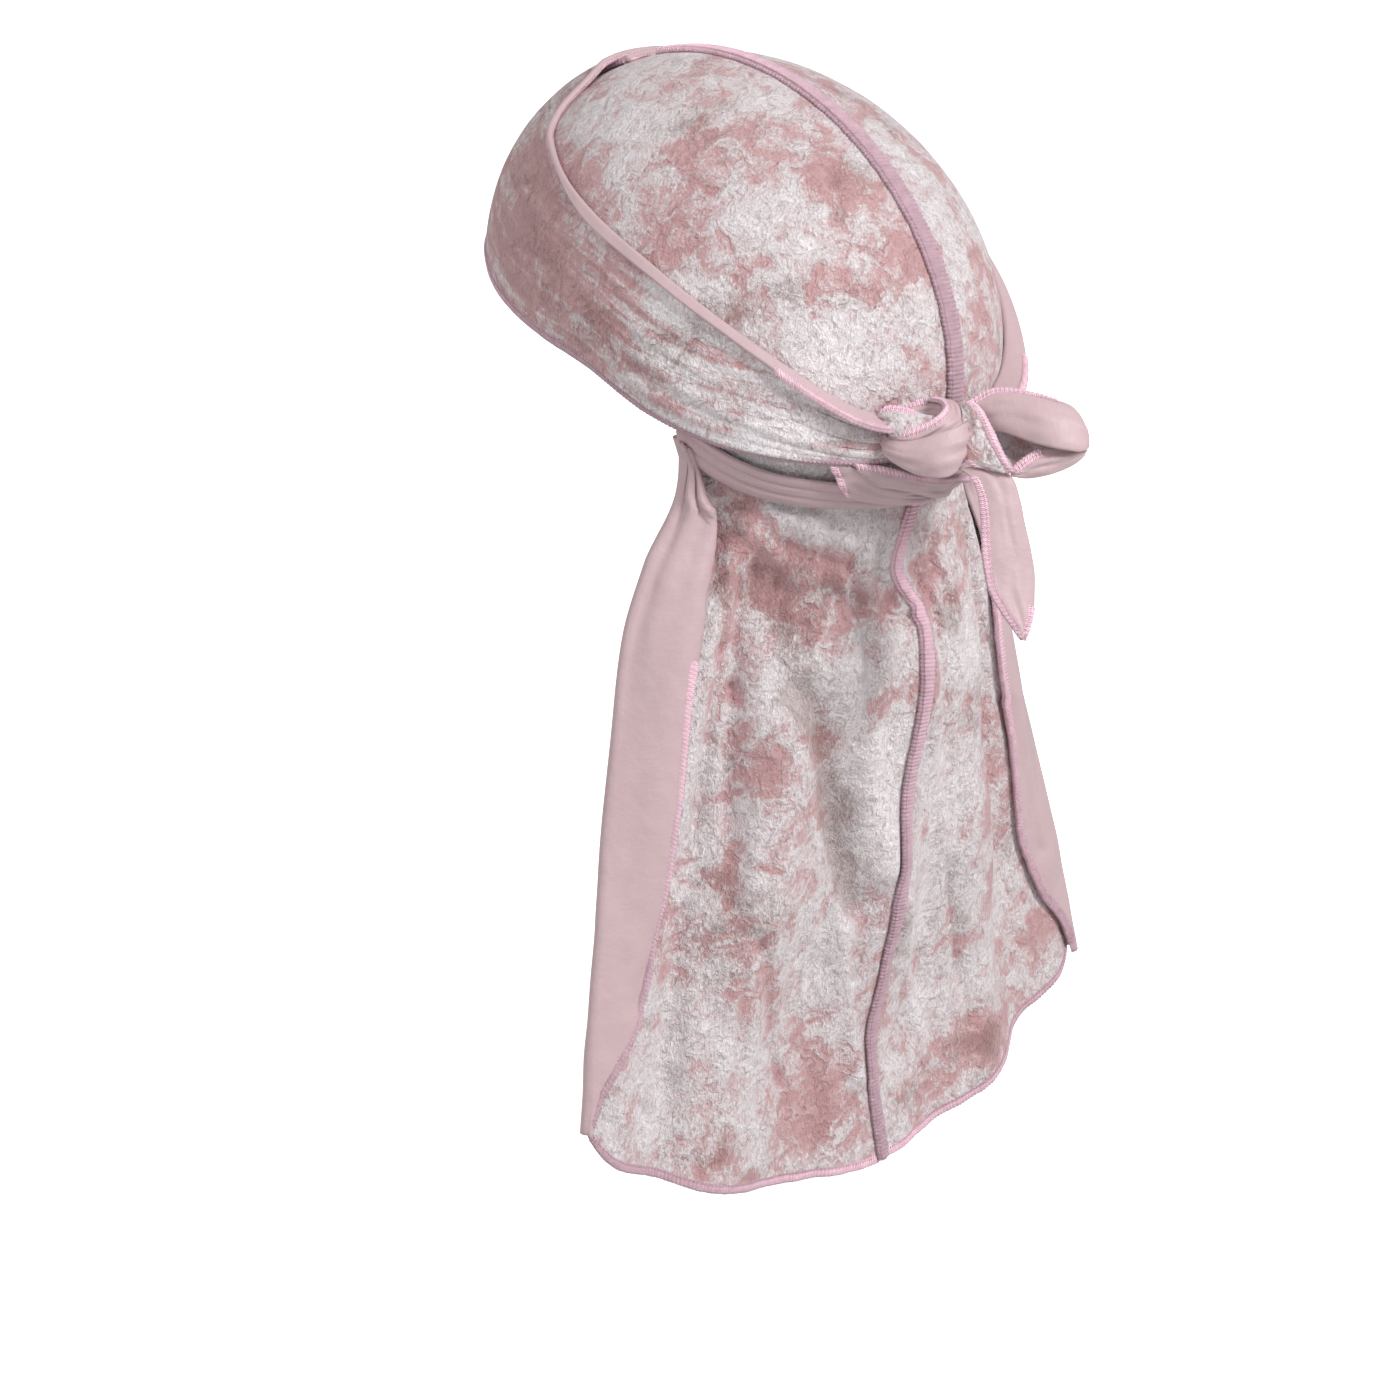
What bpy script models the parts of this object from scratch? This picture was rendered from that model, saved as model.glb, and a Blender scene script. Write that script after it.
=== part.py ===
"""A velvet durag in the form it has when worn and tied, in metres, +Z up.

The wearer faces -Y, so +X is the wearer's left. The origin is the inside top of the crown,
where the top of the head bears on the cloth. Two side panels run from the brow over the head
to the hem of the tail and meet at a raised seam. Two wide straps wrap the brow and a pleated
strap wraps the nape, and all of them are tied in a bow behind the head.
"""

import math

import bmesh
import bpy
from mathutils import Vector

# The head that the durag is worn on
HEAD_HALF_WIDTH = 0.0765
HEAD_HALF_LENGTH = 0.0965
HEAD_HEIGHT = 0.083        # from the widest level of the head to its top
HEAD_LEAN = 0.15           # how far forward the head leans for each metre of height

# Cloth and seams
WALL = 0.0012              # velvet with its satin reverse
CLEARANCE = 0.0007         # gap between cloths that lie on each other
SEAM_GAP = 0.0006          # gap between the two panels along the middle
RIDGE_WIDTH = 0.0075       # the raised overlock seam
RIDGE_HEIGHT = 0.0022
SEAM_INSET = 0.007         # the crown's seam stops this far from the straps at its ends

# Crown panels: they fan out round a point above the ear
FAN_BACK = 0.036           # the fan's centre, behind the middle of the head
FAN_DROP = 0.015           # and below its widest level
BROW_HEIGHT = 0.025        # the crown's front edge, above the widest level
FAN_SPREAD = math.radians(83)

# Tail
TAIL_DROP = 0.252          # from the nape to the hem, along the middle seam
TAIL_HALF_WIDTH = 0.129    # at the hem's corners
TAIL_BACK = 0.083          # from the middle of the head back to the tail's middle
TAIL_SIDE_BACK = 0.054     # and back to the tail's side edges
HEM_WIDTH = 0.026          # the side edge turned back to show its satin
HEM_GAP = 0.0028           # between the two layers of that turn
HEM_LIFT = math.radians(12)

# Straps
STRAP_LAP = 16.0           # degrees that each brow strap runs past the middle of the brow
TURN_WIDTH = 0.006         # the brow strap's top edge turned back
TURN_NARROW = 0.0015       # and the same turn at the brow
TURN_GAP = 0.001           # between the two layers of that turn
NAPE_RIDGE = 0.0009        # height of the pleats in the nape strap
STRAP_WIDTH = 0.031        # of the loose end and the bow
KNOT_ACROSS = 0.0175       # the knot sits this far to the wearer's left of the middle
KNOT_DROP = 0.0245         # and this far below the widest level
KNOT_HALF_WIDTH = 0.0145
KNOT_HALF_DEPTH = 0.0085
KNOT_HEIGHT = 0.0155       # width of the strap that wraps the knot
KNOT_TILT = math.radians(7)
ROLL_HEIGHT = 0.019        # the rolled strap that stands up out of the knot
ROLL_RISE = 0.009
ROLL_LEAN = 0.003
LOOP_LENGTH = 0.037        # the bow
LOOP_DEPTH = 0.020
LOOP_PINCH = 0.006         # between its two layers at the knot
LOOP_TILT = math.radians(43)
LOOP_AIM = Vector((-0.80, 0.58, -0.08)).normalized()
END_LENGTH = 0.068         # of the loose end that hangs from the knot
TUCK_START = 143.0         # azimuth where the tucked strap under the knot begins, in degrees
TUCK_WIDTH = 0.014         # there
TUCK_END_WIDTH = 0.009     # and where it goes in under the knot
TUCK_SLANT = 5.0           # how far its start slants, in degrees

HEAD_CENTRE = Vector((0.0, HEAD_LEAN * HEAD_HEIGHT, -HEAD_HEIGHT))
OUTER = WALL + CLEARANCE   # where a second layer's inner face lies, from the head
STRAP_LIFT = WALL + CLEARANCE * 2 + NAPE_RIDGE   # room for the nape strap under a brow strap

# Colours: red, green, blue
VELVET = (0.60, 0.47, 0.48)
SATIN = (0.69, 0.50, 0.53)
THREAD = (0.74, 0.42, 0.52)

# Brow strap: azimuth from the front in degrees, then its lower and upper edges as shares of
# the head's height, and how far it stands off the crown as a share of the lift
BROW_STRAP = (
    ("azimuth", "lower", "upper", "lift"),
    (0, 0.19, 0.955, 0.0),
    (20, 0.175, 0.945, 0.0),
    (36, 0.13, 0.885, 0.0),
    (53, 0.065, 0.725, 0.0),
    (65, 0.02, 0.66, 0.0),
    (77, -0.025, 0.59, 0.0),
    (94, -0.095, 0.485, 0.15),
    (112, -0.235, 0.355, 0.9),
    (127, -0.325, 0.20, 1.0),
    (139, -0.365, 0.05, 1.0),
    (150, -0.39, -0.105, 1.0),
    (158, -0.40, -0.20, 1.0),
    (166, -0.385, -0.245, 1.0),
)

# Nape strap: azimuth, then its lower and upper edges as shares of the head's height
NAPE_STRAP = (
    ("azimuth", "lower", "upper"),
    (117, -0.395, -0.25),
    (122, -0.475, -0.30),
    (130, -0.545, -0.39),
    (140, -0.59, -0.455),
    (152, -0.62, -0.49),
    (166, -0.64, -0.51),
    (180, -0.65, -0.52),
)

# Tail: share of its drop, then the half width, the middle's and the sides' distance back, each
# as a share of its size at the top of this file, and the seam's sway as a share of the half width
TAIL = (
    ("drop", "width", "back", "side_back", "sway"),
    (0.00, 0.525, 0.99, 0.82, 0.00),
    (0.08, 0.560, 0.97, 0.70, 0.075),
    (0.16, 0.615, 1.01, 0.67, -0.01),
    (0.26, 0.690, 1.04, 0.67, -0.02),
    (0.42, 0.765, 0.98, 0.73, 0.00),
    (0.56, 0.830, 0.96, 0.79, 0.00),
    (0.70, 0.890, 0.86, 0.87, 0.00),
    (0.82, 0.940, 0.81, 0.93, 0.02),
    (1.00, 1.000, 0.87, 1.00, 0.00),
)

# The tail's two sides, +1 for the wearer's left: width as a share of the half width, how far
# the side edge hangs forward of the sizes above, how much higher the hem is at the corner than
# in the middle, and how far the corner is rounded off
SIDES = {
    1: {"width": 1.00, "forward": 0.000, "rise": 0.040, "round": 0.014},
    -1: {"width": 0.97, "forward": 0.004, "rise": 0.036, "round": 0.004},
}

# Folds of the tail: where each starts and ends as a share of the way from the seam to the side
# edge, its half width as such a share, its height as a share of the half width of the tail,
# and the drop at which it is highest
FOLDS_LEFT = (
    ("top", "bottom", "spread", "height", "peak"),
    (0.16, 0.30, 0.16, -0.050, 0.55),
    (0.42, 0.62, 0.15, 0.060, 0.45),
    (0.62, 0.80, 0.10, -0.050, 0.30),
    (0.84, 0.93, 0.09, 0.045, 0.35),
)
FOLDS_RIGHT = (
    ("top", "bottom", "spread", "height", "peak"),
    (0.18, 0.26, 0.14, -0.045, 0.50),
    (0.42, 0.50, 0.15, 0.055, 0.55),
    (0.66, 0.74, 0.11, -0.045, 0.45),
    (0.86, 0.92, 0.09, 0.040, 0.40),
)

# Loose end: distance to the wearer's right, outward and down, as shares of its length, and the
# width as a share of the strap's
LOOSE_END = (
    ("right", "out", "down", "width"),
    (0.00, 0.00, 0.00, 0.34),
    (0.07, 0.05, 0.10, 0.50),
    (0.17, 0.08, 0.28, 0.66),
    (0.22, 0.06, 0.50, 0.74),
    (0.25, 0.02, 0.70, 0.66),
    (0.28, 0.00, 0.88, 0.36),
    (0.31, -0.01, 1.00, 0.08),
)

LOOSE_KEYS = (("key",) + LOOSE_END[0],) + tuple(
    (i / (len(LOOSE_END) - 2),) + row for i, row in enumerate(LOOSE_END[1:])
)

CROWN_ROWS = 24
NAPE_ROWS = 3
TAIL_ROWS = 17
PANEL_COLUMNS = 12
HEM_COLUMNS = 2


def smooth(value):
    """Eases a share from 0 to 1, flat at both ends."""
    value = min(1.0, max(0.0, value))
    return value * value * (3 - 2 * value)


def look_up(table, key, column):
    """Reads a column at any key, through the table's rows on a smooth curve."""
    place = table[0].index(column)
    rows = table[1:]
    keys = [row[0] for row in rows]
    values = [row[place] for row in rows]
    if key <= keys[0]:
        return values[0]
    if key >= keys[-1]:
        return values[-1]
    at = max(i for i in range(len(keys) - 1) if keys[i] <= key)
    slopes = []
    for i in (at, at + 1):
        before, after = max(i - 1, 0), min(i + 1, len(keys) - 1)
        slopes.append((values[after] - values[before]) / (keys[after] - keys[before]))
    step = keys[at + 1] - keys[at]
    t = (key - keys[at]) / step
    return (
        values[at] * (2 * t**3 - 3 * t**2 + 1)
        + slopes[0] * step * (t**3 - 2 * t**2 + t)
        + values[at + 1] * (3 * t**2 - 2 * t**3)
        + slopes[1] * step * (t**3 - t**2)
    )


def head_point(azimuth, height, offset):
    """A point off the head: degrees from the front, height from the widest level."""
    turn = math.radians(azimuth)
    level = height / (HEAD_HEIGHT + offset)
    across = math.sin(turn) / (HEAD_HALF_WIDTH + offset)
    along = math.cos(turn) / (HEAD_HALF_LENGTH + offset)
    reach = math.sqrt(max(0.0, 1 - level**2)) / math.hypot(across, along)
    place = Vector((reach * math.sin(turn), -reach * math.cos(turn) - HEAD_LEAN * height, height))
    return HEAD_CENTRE + place


def fan_point(turn, spread, offset):
    """A point off the head, seen from the fan's centre: turn goes from the front over the top."""
    start = Vector((0.0, FAN_BACK, -FAN_DROP))
    aim = Vector((
        math.sin(spread),
        -math.cos(spread) * math.cos(turn),
        math.cos(spread) * math.sin(turn),
    ))
    sizes = (HEAD_HALF_WIDTH + offset, HEAD_HALF_LENGTH + offset, HEAD_HEIGHT + offset)
    base = (start.x, start.y + HEAD_LEAN * start.z, start.z)
    ray = (aim.x, aim.y + HEAD_LEAN * aim.z, aim.z)
    a = sum((r / s) ** 2 for r, s in zip(ray, sizes))
    b = 2 * sum(o * r / s**2 for o, r, s in zip(base, ray, sizes))
    c = sum((o / s) ** 2 for o, s in zip(base, sizes)) - 1
    reach = (-b + math.sqrt(b * b - 4 * a * c)) / (2 * a)
    return HEAD_CENTRE + start + aim * reach


def fan_turn(azimuth, height):
    """The fan's angle, from the front over the top, at a point on the head's middle line."""
    place = head_point(azimuth, height, 0.0) - HEAD_CENTRE
    return math.atan2(place.z + FAN_DROP, FAN_BACK - place.y) % (2 * math.pi)


def nape_line(share, offset):
    """The line where the cloth leaves the head, just below the nape strap."""
    azimuth = 180 - share * (180 - NAPE_STRAP[1][0])
    lower = look_up(NAPE_STRAP, azimuth, "lower")
    return head_point(azimuth, HEAD_HEIGHT * lower - CLEARANCE * 3, offset)


def nape_join(share, gap):
    """The line under the nape strap where the crown's cloth ends and the tail's starts."""
    azimuth = 180 - share * (180 - NAPE_STRAP[1][0])
    lower = look_up(NAPE_STRAP, azimuth, "lower")
    upper = look_up(NAPE_STRAP, azimuth, "upper")
    return head_point(azimuth, HEAD_HEIGHT * (lower + upper) / 2 + gap, WALL / 2)


def fold_height(folds, drop, share):
    """How far the tail's folds push it outwards at one place."""
    total = 0.0
    for top, bottom, spread, height, peak in folds[1:]:
        middle = top + (bottom - top) * drop
        reach = smooth(drop / peak) * (1 - 0.35 * smooth((drop - peak) / (1 - peak)))
        total += height * reach * math.exp(-(((share - middle) / spread) ** 2))
    return total * TAIL_HALF_WIDTH


def tail_point(side, folds, drop, share):
    """A point of the tail: drop from the nape to the hem, share from the seam to the side."""
    nape = nape_line(share, WALL / 2)
    sizes = SIDES[side]
    bottom = nape_line(0.0, 0.0).z - TAIL_DROP + sizes["rise"] * share**2
    corner = max(0.0, (share - 0.84) / 0.16)
    bottom += sizes["round"] * (1 - math.sqrt(1 - 0.98 * corner**2))
    height = nape.z + (bottom - nape.z) * drop
    half = TAIL_HALF_WIDTH * sizes["width"] * look_up(TAIL, drop, "width")
    back = HEAD_CENTRE.y + TAIL_BACK * look_up(TAIL, drop, "back")
    side_back = HEAD_CENTRE.y + TAIL_SIDE_BACK * look_up(TAIL, drop, "side_back")
    side_back -= sizes["forward"]
    sway = TAIL_HALF_WIDTH * look_up(TAIL, drop, "sway") * (1 - share) ** 2
    hang = Vector((side * half * share, back - (back - side_back) * share**1.7, height))
    start = Vector((side * nape.x, nape.y, height))
    point = start.lerp(hang, smooth(drop / 0.16))
    outward = Vector((side * 0.45 * share, 1.0, 0.0)).normalized()
    point += outward * fold_height(folds, drop, share)
    point.x += side * SEAM_GAP / 2 * (1 - share) + sway
    return point


def crown_grid(side):
    """The crown half of a panel, from its front edge to the nape."""
    rows = []
    front = fan_turn(0, BROW_HEIGHT)
    back = fan_turn(180, look_up(NAPE_STRAP, 180, "upper") * HEAD_HEIGHT)
    for i in range(CROWN_ROWS + 1):
        turn = front + (back - front) * i / CROWN_ROWS
        rows.append([
            beside_seam(fan_point(turn, FAN_SPREAD * j / PANEL_COLUMNS, WALL / 2), side, j)
            for j in range(PANEL_COLUMNS + 1)
        ])
    last = rows[-1]
    for i in range(1, NAPE_ROWS + 1):
        row = []
        for j, above in enumerate(last):
            below = beside_seam(nape_join(j / PANEL_COLUMNS, CLEARANCE / 2), side, j)
            row.append(on_head(above.lerp(below, i / NAPE_ROWS), WALL / 2))
        rows.append(row)
    return rows


def beside_seam(point, side, column):
    """Mirrors a point to its side and keeps it clear of the other side at the seam."""
    return Vector((
        side * (point.x + SEAM_GAP / 2 * (1 - column / PANEL_COLUMNS)),
        point.y,
        point.z,
    ))


def on_head(point, offset):
    """Moves a point level with the ground until it lies that far off the head."""
    place = point - HEAD_CENTRE
    azimuth = math.degrees(math.atan2(place.x, -(place.y + HEAD_LEAN * place.z)))
    return head_point(azimuth, place.z, offset)


def tail_grid(side, folds):
    """The tail half of a panel, from under the nape strap to the hem."""
    top = [
        beside_seam(nape_join(j / PANEL_COLUMNS, -CLEARANCE / 2), side, j)
        for j in range(PANEL_COLUMNS + 1)
    ]
    hanging = [
        [
            tail_point(side, folds, drop, j / PANEL_COLUMNS)
            for j in range(PANEL_COLUMNS + 1)
        ]
        for drop in tail_drops()
    ]
    return [top] + hanging


def tail_drops():
    """The levels of the tail's rows, closer together near the nape."""
    return [(i / TAIL_ROWS) ** 1.3 for i in range(TAIL_ROWS + 1)]


def hem_grid(tail, side):
    """The side edge turned outwards and back, as wide as it is at each level."""
    rows = []
    for row, drop in zip(tail, tail_drops()[1:]):
        edge, inner = row[-1], row[-2]
        along = Vector((edge.x - inner.x, edge.y - inner.y, 0.0)).normalized()
        outward = Vector((-along.y, along.x, 0.0)) * side
        width = HEM_WIDTH * smooth((drop + 0.12) / 0.4) * smooth((1.06 - drop) / 0.35)
        turned = [edge]
        for k in (1, 2, 3):
            angle = math.pi * k / 3
            turned.append(
                edge
                + along * (WALL + HEM_GAP) / 2 * math.sin(angle)
                + outward * (WALL + HEM_GAP) / 2 * (1 - math.cos(angle))
            )
        back = outward * math.sin(HEM_LIFT) - along * math.cos(HEM_LIFT)
        for k in range(1, HEM_COLUMNS + 1):
            turned.append(turned[3] + back * width * k / HEM_COLUMNS)
        rows.append(turned)
    return rows


def add_grid(mesh, rows, closed=False):
    """Adds a sheet of quads through the rows to a bmesh."""
    corners = [[mesh.verts.new(point) for point in row] for row in rows]
    if closed:
        corners.append(corners[0])
    for upper, lower in zip(corners, corners[1:]):
        for j in range(len(upper) - 1):
            mesh.faces.new((upper[j], lower[j], lower[j + 1], upper[j + 1]))


def cloth(name, grids, outward, material, thickness=WALL, closed=False):
    """A named wall of cloth round its middle surface. Outward is where its front face looks."""
    mesh = bmesh.new()
    for rows in grids:
        add_grid(mesh, rows, closed)
    bmesh.ops.remove_doubles(mesh, verts=mesh.verts, dist=1e-5)
    bmesh.ops.recalc_face_normals(mesh, faces=mesh.faces)
    mesh.faces.ensure_lookup_table()
    if mesh.faces[0].normal.dot(outward) < 0:
        bmesh.ops.reverse_faces(mesh, faces=mesh.faces)
    data = bpy.data.meshes.new(name)
    mesh.to_mesh(data)
    mesh.free()
    thing = bpy.data.objects.new(name, data)
    bpy.context.scene.collection.objects.link(thing)
    data.materials.append(material)
    wall = thing.modifiers.new("wall", "SOLIDIFY")
    wall.thickness = thickness
    wall.offset = 0.0
    wall.use_even_offset = True
    data.shade_smooth()
    return thing


def panel(side_name, side, folds, material):
    """One side of the durag. The crown and the tail are one cloth, parted under the nape strap."""
    cloth("crown_" + side_name, (crown_grid(side),), Vector((0, -0.2, 1)), material)
    tail = tail_grid(side, folds)
    hem = hem_grid(tail[2:], side)
    cloth("tail_" + side_name, (tail, hem), Vector((0, 1, 0)), material)


def ridge(name, rows, outward, material):
    """A raised overlock seam: a rounded rib of thread over the joined edges."""
    return cloth(name, (rows,), outward, material, thickness=RIDGE_HEIGHT)


def crown_ridge(material):
    """The seam over the crown, from the brow straps' top edge down to the knot."""
    offset = OUTER + RIDGE_HEIGHT / 2
    half = RIDGE_WIDTH / 2
    brow_edge = look_up(BROW_STRAP, 0, "upper") * HEAD_HEIGHT
    nape_edge = look_up(NAPE_STRAP, 180, "upper") * HEAD_HEIGHT
    start = fan_turn(0, brow_edge) + SEAM_INSET / HEAD_HEIGHT
    stop = fan_turn(180, nape_edge + SEAM_INSET)
    rows = []
    count = 24
    for i in range(count + 1):
        middle = fan_point(start + (stop - start) * i / count, 0.0, offset)
        rows.append([on_ridge(middle, x * half, offset) for x in (-1, 0, 1)])
    return ridge("crown_seam", rows, Vector((0, 0, 1)), material)


def on_ridge(middle, x, offset):
    """A point beside the seam, lowered so that it follows the round of the head."""
    drop = (HEAD_HALF_WIDTH + offset) - math.sqrt((HEAD_HALF_WIDTH + offset) ** 2 - x * x)
    inward = (HEAD_CENTRE - middle).normalized()
    return middle + Vector((x, 0, 0)) + inward * drop


def tail_normal(side, folds, drop, share):
    """The way outwards at one place of the tail."""
    step = 0.01
    down = tail_point(side, folds, drop + step, share) - tail_point(side, folds, drop - step, share)
    along = tail_point(side, folds, drop, share + step) - tail_point(side, folds, drop, share)
    return down.cross(along).normalized() * -side


def tail_ridge(material):
    """The seam down the tail, from under the nape strap to the hem."""
    rows = []
    out = OUTER + RIDGE_HEIGHT / 2 - WALL / 2
    half = RIDGE_WIDTH / 2
    for drop in tail_drops()[1:]:
        row = []
        for side, folds in ((-1, FOLDS_RIGHT), (1, FOLDS_LEFT)):
            share = half / (TAIL_HALF_WIDTH * look_up(TAIL, drop, "width"))
            near = tail_point(side, folds, drop, share)
            row.append(near + tail_normal(side, folds, drop, share) * out)
        middle = (tail_point(-1, FOLDS_RIGHT, drop, 0.0) + tail_point(1, FOLDS_LEFT, drop, 0.0)) / 2
        facing = tail_normal(-1, FOLDS_RIGHT, drop, 0.0) + tail_normal(1, FOLDS_LEFT, drop, 0.0)
        row.insert(1, middle + facing.normalized() * out)
        rows.append(row)
    return ridge("tail_seam", rows, Vector((0, 1, 0)), material)


def strap_offset(azimuth, share, side):
    """How far the middle of the brow strap's cloth lies off the head."""
    lift = STRAP_LIFT * look_up(BROW_STRAP, azimuth, "lift") * (1 - smooth(share / 0.75))
    offset = OUTER + WALL / 2 + lift
    if side > 0:
        offset += OUTER * (1 - smooth((azimuth - STRAP_LAP - 4) / 22))
    return offset


def brow_strap(name, side, material):
    """A wide strap from past the middle of the brow, over the ear and back to the knot."""
    last = BROW_STRAP[-1][0] if side > 0 else 172.0
    rows = []
    count = 28
    across = 8
    for i in range(count + 1):
        azimuth = -STRAP_LAP + (last + STRAP_LAP) * i / count
        key = min(abs(azimuth), BROW_STRAP[-1][0])
        lower = math.asin(look_up(BROW_STRAP, key, "lower"))
        upper = math.asin(look_up(BROW_STRAP, key, "upper"))
        slant = STRAP_LAP * 0.8 * (1 - smooth((azimuth + STRAP_LAP) / 30))
        row = []
        for j in range(across + 1):
            share = j / across
            height = HEAD_HEIGHT * math.sin(lower + (upper - lower) * share)
            place = azimuth + slant * (1 - share)
            row.append(head_point(place, height, strap_offset(place, share, side)))
        row += turned_edge(row, azimuth)
        for point in row:
            point.x *= side
        rows.append(row)
    return cloth(name, (rows,), Vector((0, -1, 0.2)), material)


def turned_edge(row, azimuth):
    """The strap's top edge rolled outwards, to show its satin."""
    edge, inner = row[-1], row[-2]
    along = (edge - inner).normalized()
    outward = (edge - HEAD_CENTRE)
    outward = (outward - along * outward.dot(along)).normalized()
    turned = []
    for k in (1, 2, 3):
        angle = math.pi * k / 3
        turned.append(
            edge
            + along * (WALL + TURN_GAP) / 2 * math.sin(angle)
            + outward * (WALL + TURN_GAP) / 2 * (1 - math.cos(angle))
        )
    width = TURN_NARROW + (TURN_WIDTH - TURN_NARROW) * smooth((azimuth - 82) / 25)
    turned.append(turned[-1] - along * width)
    return turned


def nape_strap(material):
    """The strap that cinches the panels at the nape, with three pleats along it."""
    count = 30
    across = 6
    first = NAPE_STRAP[1][0]
    rows = []
    for i in range(count + 1):
        azimuth = first + (360 - 2 * first) * i / count
        key = azimuth if azimuth <= 180 else 360 - azimuth
        lower = look_up(NAPE_STRAP, key, "lower") * HEAD_HEIGHT
        upper = look_up(NAPE_STRAP, key, "upper") * HEAD_HEIGHT
        row = []
        for j in range(across + 1):
            share = j / across
            pleat = NAPE_RIDGE if j % 2 else 0.0
            offset = OUTER + WALL / 2 + CLEARANCE + pleat
            row.append(head_point(azimuth, lower + (upper - lower) * share, offset))
        rows.append(row)
    return cloth("nape_strap", (rows,), Vector((1, 0.5, 0)), material)


def knot_frame():
    """The knot's middle, then its directions: wearer's right, outwards and up."""
    azimuth = 180 - math.degrees(math.asin(KNOT_ACROSS / HEAD_HALF_LENGTH))
    offset = OUTER + RIDGE_HEIGHT + WALL / 2 + KNOT_HALF_DEPTH
    turn = math.radians(azimuth)
    out = Vector((math.sin(turn), -math.cos(turn), 0.0))
    level = Vector((-out.y, out.x, 0.0))
    upright = Vector((0, 0, 1))
    right = level * math.cos(KNOT_TILT) + upright * math.sin(KNOT_TILT)
    up = upright * math.cos(KNOT_TILT) - level * math.sin(KNOT_TILT)
    return head_point(azimuth, -KNOT_DROP, offset), right, out, up


def ring_rows(middle, right, out, up, half_width, half_depth, height, lean, flare):
    """Rows round a hoop of strap. It leans and flares towards its top."""
    rows = []
    count = 20
    for i in range(count):
        angle = 2 * math.pi * i / count
        row = []
        for j in range(5):
            level = j / 4 - 0.5
            barrel = 1 - 0.10 * (2 * level) ** 2 + flare * (level + 0.5)
            row.append(
                middle
                + right * (half_width * barrel * math.cos(angle) - lean * (level + 0.5) ** 3)
                + out * half_depth * barrel * math.sin(angle)
                + up * height * level
            )
        rows.append(row)
    return list(zip(*rows))


def knot(material, roll_material):
    """The strap wrapped round the knot and the rolled strap that stands up out of it."""
    middle, right, out, up = knot_frame()
    wrap = ring_rows(middle, right, out, up, KNOT_HALF_WIDTH, KNOT_HALF_DEPTH, KNOT_HEIGHT, 0, 0)
    cloth("knot_wrap", (closed_rows(wrap),), outward_at(wrap, middle), material)
    inset = WALL + CLEARANCE
    roll = ring_rows(
        middle + up * ROLL_RISE, right, out, up,
        KNOT_HALF_WIDTH * 0.9 - inset, KNOT_HALF_DEPTH * 0.9 - inset,
        ROLL_HEIGHT, ROLL_LEAN, 0.0,
    )
    cloth("knot_roll", (closed_rows(roll),), outward_at(roll, middle), roll_material)


def closed_rows(rows):
    """Repeats the first point of every row, so that a hoop closes when doubles are removed."""
    return [list(row) + [row[0]] for row in rows]


def outward_at(rows, middle):
    """The way out of a hoop at its first quad."""
    return rows[0][0] - middle


def ribbon_rows(stations, across_count=4):
    """Rows across a strap. A station is its middle, its direction across and its width."""
    rows = []
    for middle, across, width in stations:
        rows.append([
            middle + across * width * (j / across_count - 0.5) for j in range(across_count + 1)
        ])
    return rows


def bow_loop(material):
    """The bow: a loop of strap from the knot's side out to the wearer's right."""
    middle, right, out, up = knot_frame()
    start = middle + right * (KNOT_HALF_WIDTH + WALL + CLEARANCE)
    level = Vector((0, 0, 1)).cross(LOOP_AIM).normalized()
    apart = Vector((0, 0, 1)) * math.cos(LOOP_TILT) - level * math.sin(LOOP_TILT)
    apart = (apart - LOOP_AIM * apart.dot(LOOP_AIM)).normalized()
    across = LOOP_AIM.cross(apart)
    stations = []
    count = 28
    for i in range(count + 1):
        t = i / count
        reach = (1 - math.cos(2 * math.pi * t)) / 2
        spread = LOOP_DEPTH / 2 * math.sin(2 * math.pi * t) * math.sqrt(reach)
        spread += LOOP_PINCH / 2 * math.cos(math.pi * t)
        width = STRAP_WIDTH * (0.36 + 0.64 * smooth(reach / 0.6))
        stations.append((start + LOOP_AIM * LOOP_LENGTH * reach + apart * spread, across, width))
    cloth("bow_loop", (ribbon_rows(stations),), apart, material)


def loose_end(material):
    """The strap's loose end, from under the knot down to its pointed tip."""
    middle, right, out, up = knot_frame()
    start = middle - up * (KNOT_HEIGHT / 2 + CLEARANCE)
    start += right * KNOT_HALF_WIDTH * 0.62 + out * KNOT_HALF_DEPTH * 0.8
    stations = []
    count = 20
    across = (right - out * 0.3).normalized()
    for i in range(count + 1):
        t = i / count
        key = t
        down = look_up(LOOSE_KEYS, key, "down") * END_LENGTH
        place = start + right * look_up(LOOSE_KEYS, key, "right") * END_LENGTH
        place += out * look_up(LOOSE_KEYS, key, "out") * END_LENGTH
        place.z -= down
        stations.append((place, across, STRAP_WIDTH * look_up(LOOSE_KEYS, key, "width")))
    cloth("loose_end", (ribbon_rows(stations),), out, material)


def tuck(material):
    """The strap tucked under the knot from the wearer's left."""
    middle, right, out, up = knot_frame()
    stop = 180.0
    top = KNOT_DROP + KNOT_HEIGHT / 2 + CLEARANCE * 2
    centre = -top - TUCK_END_WIDTH / 2
    rows = []
    count = 16
    for i in range(count + 1):
        t = i / count
        azimuth = TUCK_START + (stop - TUCK_START) * t
        width = TUCK_WIDTH + (TUCK_END_WIDTH - TUCK_WIDTH) * smooth(t)
        offset = OUTER + WALL + STRAP_LIFT + CLEARANCE + WALL / 2
        rows.append([
            head_point(azimuth + TUCK_SLANT * (0.5 - s / 4), centre + width * (s / 4 - 0.5), offset)
            for s in range(5)
        ])
    cloth("strap_tuck", (rows,), out, material)


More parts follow.
